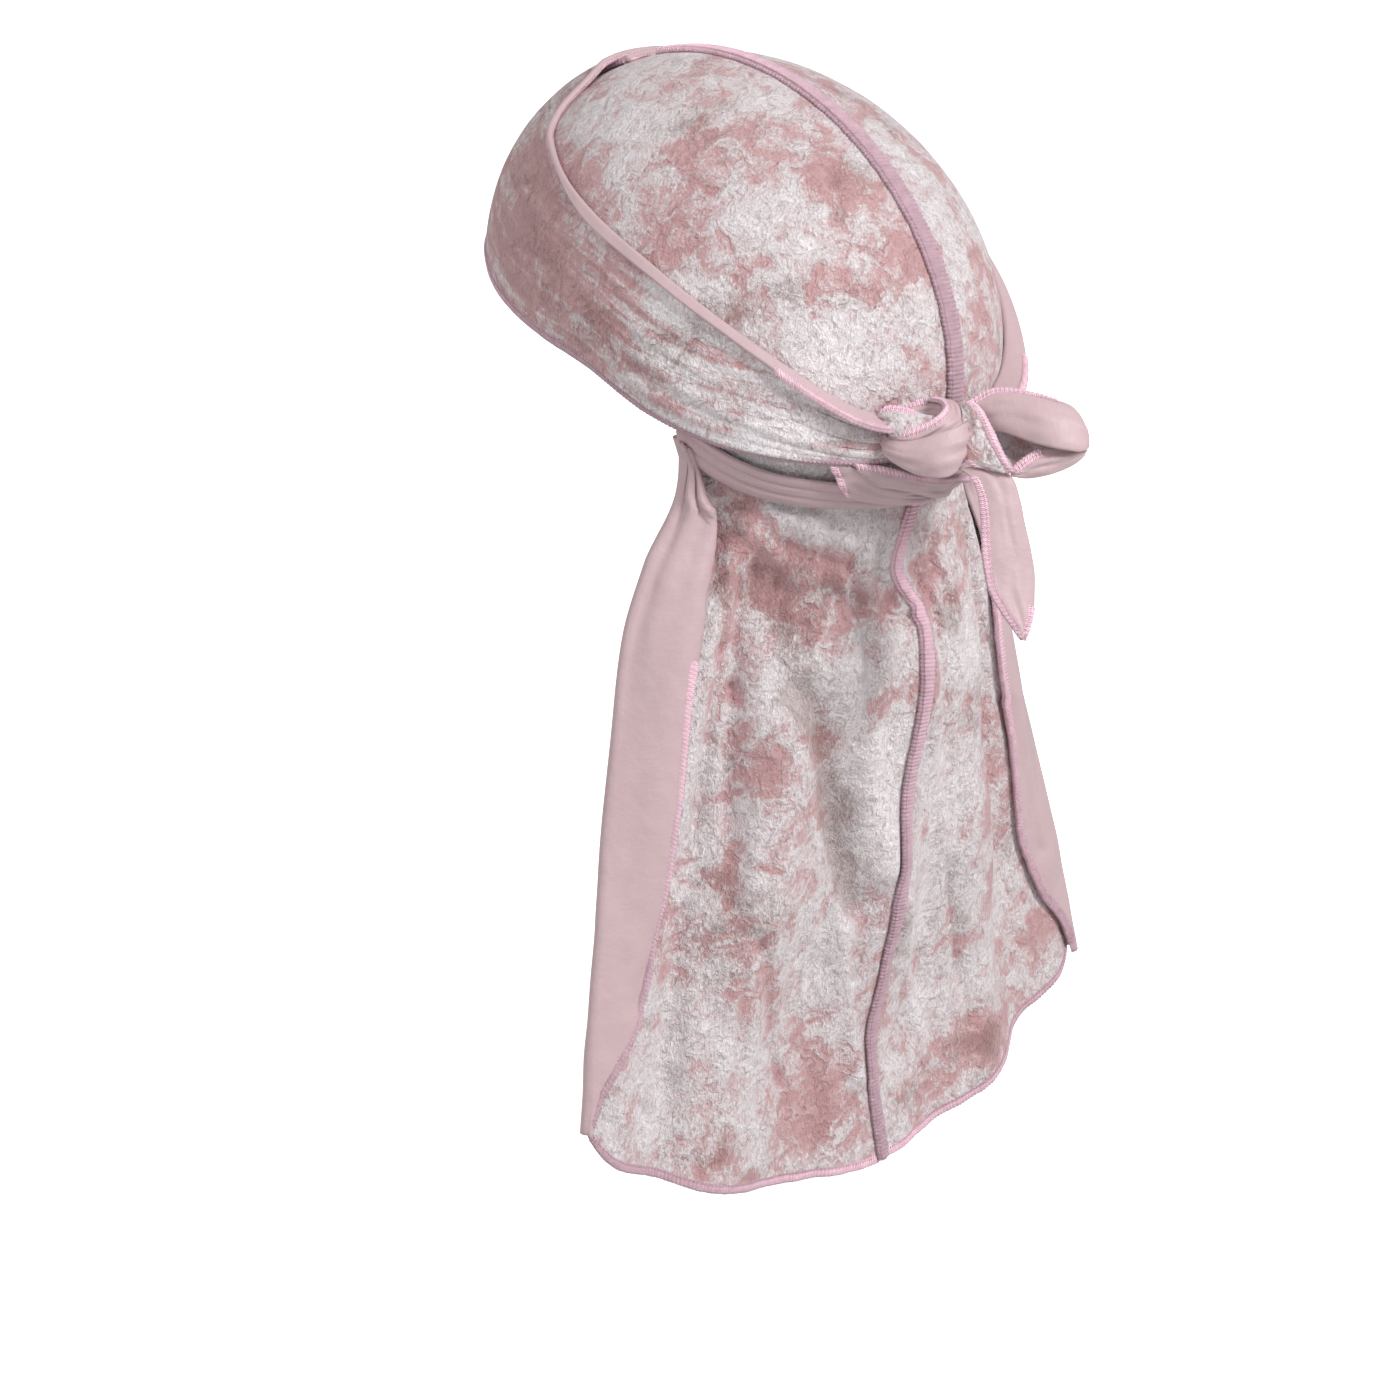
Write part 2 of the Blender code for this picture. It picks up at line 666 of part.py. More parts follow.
def main():
    for thing in list(bpy.data.objects):
        bpy.data.objects.remove(thing)
    velvet = finish("velvet", VELVET, 0.75)
    satin = finish("satin", SATIN, 0.45)
    thread = finish("thread", THREAD, 0.6)
    panel("left", 1, FOLDS_LEFT, velvet)
    panel("right", -1, FOLDS_RIGHT, velvet)
    crown_ridge(thread)
    tail_ridge(thread)
    brow_strap("brow_strap_left", 1, velvet)
    brow_strap("brow_strap_right", -1, velvet)
    nape_strap(satin)
    knot(satin, velvet)
    bow_loop(satin)
    loose_end(satin)
    tuck(satin)


def finish(name, colour, roughness):
    """A plain cloth finish."""
    material = bpy.data.materials.new(name)
    material.use_nodes = True
    shader = material.node_tree.nodes["Principled BSDF"]
    shader.inputs["Base Color"].default_value = (*colour, 1.0)
    shader.inputs["Roughness"].default_value = roughness
    shader.inputs["Metallic"].default_value = 0.0
    material.diffuse_color = (*colour, 1.0)
    return material


main()
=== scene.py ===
"""Dresses the durag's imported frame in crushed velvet, satin and overlock thread.

Run it as a script in Blender. Its panel in the 3D view's sidebar lists the same steps.
"""

import math

import bmesh
import bpy
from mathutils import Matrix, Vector, noise


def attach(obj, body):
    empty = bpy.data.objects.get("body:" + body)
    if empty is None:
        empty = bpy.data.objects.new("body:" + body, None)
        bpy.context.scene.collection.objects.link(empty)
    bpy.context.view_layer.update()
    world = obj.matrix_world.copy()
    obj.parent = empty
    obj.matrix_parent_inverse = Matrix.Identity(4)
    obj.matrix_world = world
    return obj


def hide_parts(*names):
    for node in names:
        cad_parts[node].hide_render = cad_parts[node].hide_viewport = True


bl_info = {
    "name": "Velvet Durag",
    "version": (1, 0, 0),
    "blender": (4, 5, 0),
    "location": "View3D > Sidebar > Durag",
    "description": "Builds a worn and tied velvet durag on its packed frame",
    "category": "Object",
}

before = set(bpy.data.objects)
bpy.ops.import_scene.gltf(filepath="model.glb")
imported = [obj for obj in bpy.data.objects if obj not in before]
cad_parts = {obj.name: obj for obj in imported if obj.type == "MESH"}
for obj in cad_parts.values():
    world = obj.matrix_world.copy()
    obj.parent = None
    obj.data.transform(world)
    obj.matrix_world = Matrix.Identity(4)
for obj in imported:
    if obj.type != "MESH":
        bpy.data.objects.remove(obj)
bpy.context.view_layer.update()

# The hollow inside the crown, an ellipsoid in metres, and the cloth, as in the part's source
HOLLOW_HALF_WIDTH = 0.0765
HOLLOW_HALF_LENGTH = 0.0965
HOLLOW_HEIGHT = 0.083
HOLLOW_LEAN = 0.15
WALL = 0.0012
CLEARANCE = 0.0007
SEAM_GAP = 0.0006
FAN_BACK = 0.036
FAN_DROP = 0.015
BROW_HEIGHT = 0.025
FAN_SPREAD = math.radians(83)
TAIL_DROP = 0.252
TAIL_HALF_WIDTH = 0.129
TAIL_BACK = 0.083
TAIL_SIDE_BACK = 0.054
HEM_WIDTH = 0.026
HEM_GAP = 0.0028
HEM_LIFT = 0.0012
HEM_PLEAT = 0.0026
STRAP_LAP = 16.0
TURN_WIDTH = 0.006
TURN_LEAST = 0.0006
TURN_GAP = 0.001
NAPE_RIDGE = 0.0009
KNOT_ACROSS = 0.0175
KNOT_DROP = 0.0245
KNOT_HALF_DEPTH = 0.0085
RIDGE_WIDTH = 0.0075
RIDGE_HEIGHT = 0.0022
SEAM_INSET = 0.007

# The tail's shape: how its cloth curves round to the side, the share of its width that its rounded
# corner takes, the share of its drop in which it leaves the crown, and how its folds face
TAIL_CURVE = 1.7
TAIL_CORNER = 0.16
TAIL_LEAVE = 0.16
TAIL_SPLAY = 0.45
HEM_PLEATS = 2.3

# How high the cloth's creases and gathers stand
CROWN_PUCKER = 0.00035
CROWN_SOFT = 0.0003
TAIL_GATHER = 0.0030
TAIL_HANG = 0.0024
TAIL_CRUSH = 0.0009
STRAP_DRAWN = 0.0016
STRAP_RIDGE = 0.0013
STRAP_SOFT = 0.0002
NAPE_CREASE = 0.0005

# The right brow strap runs on under the knot to this azimuth
RIGHT_STRAP_END = 178.0
FRONT_SLANT = 0.8

# The knot's cloth: its fine creases, its thickness beside that of the panels, and the width from
# which a strip of it has its cut size worked out as cloth of its own
KNOT_CREASE = 0.0012
KNOT_THINNING = 0.8
NARROW = 0.0105

# The least share of its own box that a strip's cloth is taken to fill
LEAST_FILL = 0.31

# How finely the cloth is drawn
CROWN_ROWS = 170
CROWN_COLUMNS = 84
NAPE_ROWS = 10
TAIL_ROWS = 190
TAIL_COLUMNS = 96
TAIL_CROWDING = 1.12
JOIN_ROWS = 4
TURN_COLUMNS = 6
HEM_COLUMNS = 16
LAID_COLUMNS = 5
STRAP_ROWS = 210
STRAP_COLUMNS = 56
PLEAT_ROWS = 200
PLEAT_COLUMNS = 44
RIBBON_ROWS = 90
RIBBON_COLUMNS = 22
SEAM_STEPS = 240
NAPE_SEAM_STEPS = 40
STITCH_STEPS = 5
STITCH_RING = 12

HOLLOW_CENTRE = Vector((0.0, HOLLOW_LEAN * HOLLOW_HEIGHT, -HOLLOW_HEIGHT))
OUTER = WALL + CLEARANCE
SEAM_THICKNESS = RIDGE_HEIGHT + WALL * 0.6
TAIL_SEAM_WIDTH = 0.8
# Where the seam under the nape strap starts and how far it runs, in widths of the strap
NAPE_SEAM = (-0.1, 1.65)
STRAP_LIFT = WALL + CLEARANCE * 2 + NAPE_RIDGE

# The camera: the photograph's viewpoint, as an azimuth from the front through the durag's left
VIEW_AZIMUTH = math.radians(135)
VIEW_ELEVATION = math.radians(14)
VIEW_DISTANCE = 1.30
VIEW_AIM = Vector((0.0396, 0.0311, -0.2166))
VIEW_LENS = 95.3

BROW_STRAP = (
    ("azimuth", "lower", "upper", "lift"),
    (0, 0.19, 0.955, 0.0),
    (20, 0.175, 0.945, 0.0),
    (36, 0.13, 0.885, 0.0),
    (53, 0.065, 0.725, 0.0),
    (65, 0.02, 0.66, 0.0),
    (77, -0.025, 0.59, 0.0),
    (94, -0.095, 0.485, 0.15),
    (112, -0.235, 0.355, 0.9),
    (127, -0.325, 0.20, 1.0),
    (139, -0.365, 0.05, 1.0),
    (150, -0.39, -0.105, 1.0),
    (158, -0.40, -0.20, 1.0),
    (166, -0.385, -0.245, 1.0),
)

NAPE_STRAP = (
    ("azimuth", "lower", "upper"),
    (117, -0.395, -0.25),
    (122, -0.475, -0.30),
    (130, -0.545, -0.39),
    (140, -0.59, -0.455),
    (152, -0.62, -0.49),
    (166, -0.64, -0.51),
    (180, -0.65, -0.52),
)

TAIL = (
    ("drop", "width", "back", "side_back", "sway"),
    (0.00, 0.525, 0.99, 0.82, 0.00),
    (0.08, 0.560, 0.97, 0.70, 0.075),
    (0.16, 0.615, 1.01, 0.67, -0.01),
    (0.26, 0.690, 1.04, 0.67, -0.02),
    (0.42, 0.765, 0.98, 0.73, 0.00),
    (0.56, 0.830, 0.96, 0.79, 0.00),
    (0.70, 0.890, 0.86, 0.87, 0.00),
    (0.82, 0.940, 0.81, 0.93, 0.02),
    (1.00, 1.000, 0.87, 1.00, 0.00),
)

SIDES = {
    1: {"name": "left", "width": 1.00, "forward": 0.000, "rise": 0.040, "round": 0.014},
    -1: {"name": "right", "width": 0.97, "forward": 0.004, "rise": 0.036, "round": 0.004},
}

# Broad folds of the tail, as in the part's source
FOLDS = {
    1: (
        ("top", "bottom", "spread", "height", "peak"),
        (0.16, 0.30, 0.16, -0.050, 0.55),
        (0.42, 0.62, 0.15, 0.060, 0.45),
        (0.62, 0.80, 0.10, -0.050, 0.30),
        (0.84, 0.93, 0.09, 0.045, 0.35),
    ),
    -1: (
        ("top", "bottom", "spread", "height", "peak"),
        (0.18, 0.26, 0.14, -0.045, 0.50),
        (0.42, 0.50, 0.15, 0.055, 0.55),
        (0.66, 0.74, 0.11, -0.045, 0.45),
        (0.86, 0.92, 0.09, 0.040, 0.40),
    ),
}

# Cloth of the knot. Each row is a point on one edge, then on the other, in millimetres to the
# picture's right, up and towards the camera from the knot's middle, then how far it swells
EDGES = ("a_right", "a_up", "a_near", "b_right", "b_up", "b_near", "swell")
KNOT_WRAP = (
    EDGES,
    (-14.1, 2.9, -5, -15.2, -3.9, -5, 0.0),
    (-15.6, 1.9, -1, -16.0, -4.5, -1, 0.6),
    (-13.1, -0.8, 4, -12.6, -7.8, 3, 1.2),
    (-6.5, -0.8, 7, -5.4, -11.7, 5, 1.8),
    (0.7, 1.2, 8.5, 1.7, -12.9, 6, 2.2),
    (6.8, 3.4, 7, 6.3, -11.4, 5, 2.0),
    (10.7, 5.3, 4, 9.4, -6.8, 2, 1.4),
    (12.3, 5.3, -1, 11.6, -1.7, -2, 0.6),
    (11.7, 5.7, -8, 10.9, 0.4, -8, 0.0),
    (6.0, 4.0, -10, 6.0, -4.0, -10, 0.0),
    (-6.0, 2.0, -7, -6.0, -6.0, -7, 0.0),
    (-14.1, 2.9, -5, -15.2, -3.9, -5, 0.0),
)
ROLL_FRONT = (
    EDGES,
    (-14.0, 1.9, 2, -14.6, 0.2, 2, 0.0),
    (-10.3, 1.9, 5.5, -10.3, -2.0, 5, 0.3),
    (-5.4, 3.6, 7, -4.9, -2.0, 6, 0.6),
    (-0.3, 6.0, 7, 1.2, 0.5, 6, 0.8),
    (2.5, 8.3, 5, 6.8, 3.0, 5, 0.8),
    (3.6, 10.6, 2, 9.7, 5.5, 2, 0.8),
    (2.2, 12.6, -1, 8.9, 10.1, -2, 0.8),
    (-0.8, 13.1, -4, 5.2, 12.6, -5, 0.6),
    (-4.4, 12.8, -6, 0.7, 13.6, -7, 0.0),
)
ROLL_BACK = (
    EDGES,
    (5.8, 12.8, -2, 3.8, 5.0, -1, 0.0),
    (0.7, 14.0, -5, 0.7, 4.0, -4, 0.0),
    (-5.4, 13.1, -6, -3.4, 4.0, -5, 0.0),
    (-11.6, 11.8, -4, -8.0, 3.0, -4, 0.0),
    (-16.7, 9.6, -1, -13.1, 3.0, -3, 0.0),
)
ROLL_TONGUE = (
    EDGES,
    (-18.2, 8.5, 1, -16.9, 5.0, 1, 0.2),
    (-15.1, 10.4, 2, -15.8, 2.6, 3, 1.0),
    (-11.1, 10.1, 3, -13.1, 0.6, 4.5, 1.8),
    (-7.0, 9.1, 3, -9.6, 0.6, 5, 2.0),
    (-3.4, 7.7, 2.5, -6.2, 2.2, 5, 1.2),
    (0.2, 7.3, 1, -2.2, 4.4, 4, 0.4),
)
BOW_FLAP = (
    EDGES,
    (9.0, 11.6, -2, 12.4, 13.1, -2, 0.0),
    (9.4, 7.5, 2, 16.0, 8.5, 3, 0.6),
    (9.6, 1.4, 3, 19.1, 2.4, 5, 1.2),
    (9.6, -3.7, 3, 21.6, -3.2, 6, 1.4),
    (11.0, -8.0, 3, 24.2, -7.8, 6, 1.0),
    (19.0, -10.6, 4, 27.0, -11.4, 5, 0.2),
)
LOOP_TOP = (
    EDGES,
    (10.4, 11.6, -4, 12.0, 3.4, -3, 0.4),
    (14.5, 14.2, -4, 18.6, 2.9, -1, 1.2),
    (20.1, 16.7, -4, 24.2, 1.9, 1, 2.2),
    (27.3, 16.5, -3, 30.3, -0.4, 3, 3.0),
    (34.4, 14.7, -2, 36.4, -2.5, 5, 3.4),
    (41.0, 12.6, -2, 42.1, -3.7, 5, 3.2),
    (46.1, 10.4, -3, 47.2, -4.2, 3, 2.4),
    (49.4, 6.0, -5, 50.0, -3.6, 0, 1.2),
    (50.4, 0.9, -8, 50.6, -3.4, -5, 0.4),
)
LOOP_INSIDE = (
    EDGES,
    (14.0, 4.5, -4, 16.0, -7.8, -1, 0.0),
    (24.2, 5.0, -6, 24.8, -10.0, -3, 0.0),
    (32.0, 4.0, -8, 31.5, -11.6, -4, 0.0),
    (40.0, 3.0, -9, 38.5, -11.0, -5, 0.0),
    (47.0, 2.0, -9, 45.5, -8.0, -6, 0.0),
    (50.6, 0.0, -8, 50.6, -3.0, -6, 0.0),
)
LOOP_BOTTOM = (
    EDGES,
    (50.6, -2.7, -6, 50.3, -0.6, -4, 0.3),
    (49.5, -5.2, -4, 48.4, -2.4, -2, 0.8),
    (46.1, -8.0, -3, 44.0, -3.0, -1, 1.4),
    (41.0, -10.3, -2, 38.0, -3.2, 0, 1.8),
    (35.4, -11.9, -1, 33.2, -4.2, 1, 1.6),
    (30.3, -12.5, 0, 28.9, -7.0, 2, 1.0),
    (25.4, -11.9, 2, 25.2, -9.8, 3, 0.3),
)
LOOSE_END = (
    EDGES,
    (8.4, -9.8, 2, 20.6, -8.9, 1, 0.4),
    (12.2, -12.9, 3, 25.7, -12.9, 2, 1.2),
    (14.6, -18.0, 3, 28.3, -20.1, 1, 1.6),
    (15.7, -25.2, 3, 29.8, -27.2, 0, 1.6),
    (16.0, -33.3, 3, 31.8, -35.4, -1, 1.6),
    (16.6, -41.5, 3, 33.2, -43.5, -2, 1.6),
    (18.1, -49.2, 3, 33.2, -50.7, -2, 1.4),
    (21.6, -55.8, 3, 32.8, -56.8, -1, 1.0),
    (25.7, -61.4, 2, 31.5, -61.9, 0, 0.6),
    (28.8, -65.8, 1, 30.1, -66.0, 1, 0.0),
)

# The same for the strap tucked under the knot, but near is the height off the hollow
TUCK_UPPER = (
    EDGES,
    (-26.4, -7.8, 7.6, -23.8, -11.4, 7.6, 0.0),
    (-21.8, -8.6, 8.0, -18.7, -15.1, 8.0, 0.4),
    (-15.6, -9.3, 8.6, -13.1, -16.0, 8.6, 0.8),
    (-8.5, -11.1, 9.2, -6.5, -17.2, 9.2, 1.0),
    (-2.4, -12.4, 9.2, -0.8, -18.8, 9.0, 1.0),
    (3.2, -12.7, 8.2, 4.3, -18.5, 7.8, 0.6),
    (7.8, -12.4, 6.6, 7.3, -14.6, 6.2, 0.2),
    (10.9, -12.1, 4.8, 10.4, -12.9, 4.8, 0.0),
)
TUCK_LOWER = (
    EDGES,
    (-34.0, -7.9, 7.0, -28.6, -19.0, 6.4, 0.2),
    (-29.9, -8.6, 7.0, -25.0, -20.0, 6.6, 0.5),
    (-25.9, -9.3, 7.0, -20.8, -20.6, 6.8, 0.8),
    (-19.7, -12.9, 7.2, -15.1, -21.3, 7.2, 0.8),
    (-13.1, -15.0, 7.2, -9.0, -21.3, 7.2, 0.7),
    (-7.5, -16.4, 6.6, -4.4, -20.9, 6.4, 0.4),
    (-2.9, -17.8, 5.0, -0.8, -19.5, 4.8, 0.1),
)

# Where the pile lies dark, or light where the depth is below nothing, and two spots of painted
# light: a spot in the row frame in centimetres, how far it reaches and how strong it is
PILE_AND_LIGHT_SPOTS = (
    ("x", "y", "z", "reach", "depth"),
    # Brow strap
    (6.6, -3.0, -4.7, 3.0, 1.3),
    (5.2, -5.6, -5.2, 2.4, 0.9),
    (7.5, 0.0, -5.5, 1.9, 1.0),
    (7.9, 2.4, -7.7, 1.5, 0.9),
    (7.7, 4.8, -9.2, 1.1, 0.7),
    (7.8, -0.7, -7.3, 1.1, 0.6),
    (7.1, 6.3, -10.2, 1.4, -0.7),
    (5.4, 8.8, -11.1, 1.4, -0.5),
    # Crown
    (3.4, 4.5, -1.7, 1.0, 0.25),
    (0.9, 9.6, -5.0, 1.3, 0.9),
    (1.7, 7.9, -3.1, 1.0, 0.3),
    (2.2, 10.4, -7.3, 0.8, 0.8),
    (6.5, 1.4, -3.7, 0.7, 0.5),
    (5.5, 7.9, -7.2, 0.9, 0.5),
    (6.1, 4.9, -4.6, 1.1, 0.4),
    (-2.1, 10.6, -8.0, 0.6, 0.6),
    (3.4, 8.1, -4.3, 1.2, -0.7),
    (4.2, 9.5, -8.6, 1.6, -0.9),
    (5.5, 6.6, -5.1, 1.2, -0.5),
    (4.2, -0.5, -1.3, 1.1, -0.4),
    (7.3, 4.7, -6.1, 0.9, -0.7),
    (-0.1, 11.3, -8.2, 0.6, -0.6),
    # Tail
    (3.1, 8.7, -16.5, 1.8, 1.5),
    (4.2, 7.7, -15.8, 1.3, 1.0),
    (1.4, 9.3, -17.1, 0.9, 1.1),
    (-1.0, 9.2, -16.7, 0.9, 1.3),
    # Painted light: lightens the velvet in the shaded recess under the brow strap's lower edge
    (5.2, 8.6, -12.2, 1.8, -1.0),
    (3.4, 9.6, -12.6, 1.5, -0.8),
    (6.0, 6.9, -20.1, 0.4, 0.7),
    (6.6, 7.6, -25.3, 0.4, 0.7),
    (2.7, 7.7, -36.2, 1.5, 1.1),
    (8.1, 7.3, -31.6, 0.9, 0.6),
    (8.5, 7.3, -33.4, 0.7, 0.5),
    (-6.3, 8.1, -36.9, 1.3, 0.9),
    (-10.2, 6.6, -33.7, 0.9, 0.7),
    (1.8, 9.2, -21.0, 0.6, 0.9),
    (-5.3, 8.1, -31.7, 0.6, 0.6),
    (10.2, 7.6, -24.9, 0.6, 0.6),
    (11.1, 7.7, -29.4, 0.6, 0.6),
    (2.8, 8.7, -14.1, 1.1, -0.8),
    (5.1, 8.1, -20.1, 1.2, -0.9),
    (2.1, 8.6, -24.4, 0.9, -0.8),
    (7.4, 6.6, -22.0, 0.8, -0.8),
    (7.9, 6.7, -27.0, 0.9, -0.9),
    (2.6, 7.8, -30.9, 1.2, -0.8),
    (10.1, 6.9, -34.5, 1.0, -0.7),
    (6.9, 8.1, -30.3, 1.1, -0.7),
    (-3.1, 8.7, -25.8, 1.4, -0.6),
    (-8.5, 6.4, -28.0, 0.9, -0.5),
    (-3.5, 7.6, -34.1, 1.1, -0.5),
)

# How far the pile may lie towards silver and towards rose
PILE_LIMITS = (-1.0, 1.35)

# Creases of the tail, each a line from a to b in centimetres, seen from behind: how far it reaches
# to each side and how deep it goes, in millimetres, then painted shade and light on the pile: rose
# makes it rose in a valley and silver on a ridge, and painted shade greys a valley's flank
TAIL_CREASES = (
    ("ax", "az", "bx", "bz", "reach", "depth", "rose", "painted_shade"),
    (5.4, -13.5, 5.9, -19.8, 2.4, 2.6, 0.4, 0.2),
    (5.9, -19.8, 6.9, -27.2, 2.4, 2.2, 0.7, 0.0),
    (6.9, -27.2, 6.6, -33.0, 2.6, 1.2, 0.4, 0.0),
    (4.7, -15.9, 4.3, -20.0, 7.0, 4.0, 0.2, 0.45),
    (4.3, -20.0, 1.5, -28.5, 7.0, 5.5, 0.2, 1.0),
    (2.8, -19.1, 0.6, -27.2, 6.5, -3.6, -0.4, -0.3),
    (4.2, -16.4, 1.2, -17.5, 5.0, 3.4, 0.5, 0.0),
    (4.6, -13.7, 2.5, -14.8, 3.0, -2.6, -0.5, 0.0),
    (4.5, -14.7, 2.6, -15.7, 2.4, 2.2, 0.4, 0.3),
    (5.3, -14.0, 4.0, -16.2, 3.0, -2.2, -0.4, 0.0),
    (-6.0, -16.3, -7.4, -21.4, 2.0, 2.0, 0.3, 0.3),
    (-7.4, -21.4, -7.9, -27.4, 2.0, 1.6, 0.2, 0.2),
    (-2.0, -16.0, 0.2, -17.8, 2.6, 2.4, 0.5, 0.0),
    (-8.4, -24.0, -10.5, -30.5, 2.6, 1.8, 0.2, 0.2),
    (6.0, -13.8, 6.4, -18.3, 3.0, 2.6, 0.5, 0.4),
    (6.4, -18.3, 7.4, -24.2, 3.2, 2.4, 0.5, 0.2),
    (7.9, -24.8, 10.8, -29.8, 4.0, 2.2, 0.6, 0.0),
    (6.3, -28.3, 4.3, -34.8, 2.8, 2.0, 0.5, 0.0),
    (2.3, -28.4, 0.8, -35.8, 3.6, -2.4, -0.3, 0.0),
    (-0.5, -28.8, -3.4, -36.5, 4.0, -2.4, -0.3, 0.0),
    (7.7, -27.0, 8.5, -33.4, 4.0, -2.0, -0.4, 0.0),
    (-0.6, -19.3, -3.1, -28.2, 4.0, -2.4, -0.2, 0.0),
    (-3.3, -28.2, -5.6, -35.5, 3.0, 2.0, 0.3, 0.2),
)

# The height below which the creases begin, and the height in which they reach their full depth
CREASES_BELOW = -0.125
CREASES_EASE = 0.012


def smooth(value):
    """Eases a share from 0 to 1, flat at both ends."""
    value = min(1.0, max(0.0, value))
    return value * value * (3 - 2 * value)


def look_up(table, key, column):
    """Reads a column at any key, through the table's rows on a smooth curve."""
    place = table[0].index(column)
    rows = table[1:]
    keys = [row[0] for row in rows]
    values = [row[place] for row in rows]
    if key <= keys[0]:
        return values[0]
    if key >= keys[-1]:
        return values[-1]
    at = max(i for i in range(len(keys) - 1) if keys[i] <= key)
    slopes = []
    for i in (at, at + 1):
        before, after = max(i - 1, 0), min(i + 1, len(keys) - 1)
        slopes.append((values[after] - values[before]) / (keys[after] - keys[before]))
    step = keys[at + 1] - keys[at]
    t = (key - keys[at]) / step
    return (
        values[at] * (2 * t**3 - 3 * t**2 + 1)
        + slopes[0] * step * (t**3 - 2 * t**2 + t)
        + values[at + 1] * (3 * t**2 - 2 * t**3)
        + slopes[1] * step * (t**3 - t**2)
    )


def numbered(table):
    """The table with its rows' order as a first column, so that look_up can run along it."""
    return (("order",) + table[0],) + tuple((i,) + row for i, row in enumerate(table[1:]))


def outside_point(azimuth, height, offset):
    """A point outside the hollow: degrees from the front, height from the widest level."""
    turn = math.radians(azimuth)
    level = height / (HOLLOW_HEIGHT + offset)
    across = math.sin(turn) / (HOLLOW_HALF_WIDTH + offset)
    along = math.cos(turn) / (HOLLOW_HALF_LENGTH + offset)
    reach = math.sqrt(max(0.0, 1 - level**2)) / math.hypot(across, along)
    place = Vector((reach * math.sin(turn), -reach * math.cos(turn) - HOLLOW_LEAN * height, height))
    return HOLLOW_CENTRE + place


def ray_to_hollow(start, aim, offset, far):
    """Where a ray meets the hollow's ellipsoid, at its near or its far side."""
    sizes = (HOLLOW_HALF_WIDTH + offset, HOLLOW_HALF_LENGTH + offset, HOLLOW_HEIGHT + offset)
    place = start - HOLLOW_CENTRE
    base = (place.x, place.y + HOLLOW_LEAN * place.z, place.z)
    ray = (aim.x, aim.y + HOLLOW_LEAN * aim.z, aim.z)
    a = sum((r / s) ** 2 for r, s in zip(ray, sizes))
    b = 2 * sum(o * r / s**2 for o, r, s in zip(base, ray, sizes))
    c = sum((o / s) ** 2 for o, s in zip(base, sizes)) - 1
    root = math.sqrt(max(0.0, b * b - 4 * a * c))
    return start + aim * ((-b + root if far else -b - root) / (2 * a))


def fan_point(turn, spread, offset):
    """A point outside the hollow, from the fan's centre: turn goes from the front over the top."""
    start = HOLLOW_CENTRE + Vector((0.0, FAN_BACK, -FAN_DROP))
    aim = Vector((
        math.sin(spread),
        -math.cos(spread) * math.cos(turn),
        math.cos(spread) * math.sin(turn),
    ))
    return ray_to_hollow(start, aim, offset, True)


def fan_turn(azimuth, height):
    """The fan's angle, from the front over the top, at a point on the hollow's middle line."""
    place = outside_point(azimuth, height, 0.0) - HOLLOW_CENTRE
    return math.atan2(place.z + FAN_DROP, FAN_BACK - place.y) % (2 * math.pi)


def nape_azimuth(share):
    """The azimuth at a share of the way from the seam to the nape strap's end."""
    return 180 - share * (180 - NAPE_STRAP[1][0])


def nape_line(share, offset):
    """The line where the cloth leaves the hollow, just below the nape strap."""
    azimuth = nape_azimuth(share)
    lower = look_up(NAPE_STRAP, azimuth, "lower")
    return outside_point(azimuth, HOLLOW_HEIGHT * lower - CLEARANCE * 3, offset)


def nape_join(share, part, offset):
    """A point under the nape strap, from its lower edge at part 0 to its upper edge at 1."""
    azimuth = nape_azimuth(share)
    lower = look_up(NAPE_STRAP, azimuth, "lower")
    upper = look_up(NAPE_STRAP, azimuth, "upper")
    return outside_point(azimuth, HOLLOW_HEIGHT * (lower + (upper - lower) * part), offset)


def fold_height(folds, drop, share):
    """How far the tail's folds push it outwards at one place."""
    total = 0.0
    for top, bottom, spread, height, peak in folds[1:]:
        middle = top + (bottom - top) * drop
        reach = smooth(drop / peak) * (1 - 0.35 * smooth((drop - peak) / (1 - peak)))
        total += height * reach * math.exp(-(((share - middle) / spread) ** 2))
    return total * TAIL_HALF_WIDTH


def tail_outward(side, share):
    """The way the tail's folds stand out, turned more to the side towards its side edge."""
    return Vector((side * TAIL_SPLAY * share, 1.0, 0.0)).normalized()


def tail_point(side, drop, share):
    """A point of the tail: drop from the nape to the hem, share from the seam to the side."""
    nape = nape_line(share, WALL / 2)
    sizes = SIDES[side]
    bottom = nape_line(0.0, 0.0).z - TAIL_DROP + sizes["rise"] * share**2
    corner = max(0.0, (share - (1 - TAIL_CORNER)) / TAIL_CORNER)
    bottom += sizes["round"] * (1 - math.sqrt(1 - 0.98 * corner**2))
    height = nape.z + (bottom - nape.z) * drop
    half = TAIL_HALF_WIDTH * sizes["width"] * look_up(TAIL, drop, "width")
    back = HOLLOW_CENTRE.y + TAIL_BACK * look_up(TAIL, drop, "back")
    side_back = HOLLOW_CENTRE.y + TAIL_SIDE_BACK * look_up(TAIL, drop, "side_back")
    side_back -= sizes["forward"]
    sway = TAIL_HALF_WIDTH * look_up(TAIL, drop, "sway") * (1 - share) ** 2
    hang = Vector((side * half * share, back - (back - side_back) * share**TAIL_CURVE, height))
    start = Vector((side * nape.x, nape.y, height))
    point = start.lerp(hang, smooth(drop / TAIL_LEAVE))
    point += tail_outward(side, share) * fold_height(FOLDS[side], drop, share)
    point.x += side * SEAM_GAP / 2 * (1 - share) + sway
    return point


def faded(share, reach):
    """1 in the middle of a cloth and 0 at both of its edges, eased over the reach."""
    return smooth(share / reach) * smooth((1 - share) / reach)


def half_up(value):
    """A value from -1 to 1 moved to lie from 0 to 1."""
    return 0.5 + 0.5 * value


def ripple(point, scale, seed=0.0):
    """Smooth noise from -1 to 1, with waves about scale metres apart."""
    return noise.noise(point / scale + Vector((seed, seed * 0.7, seed * 1.3)))


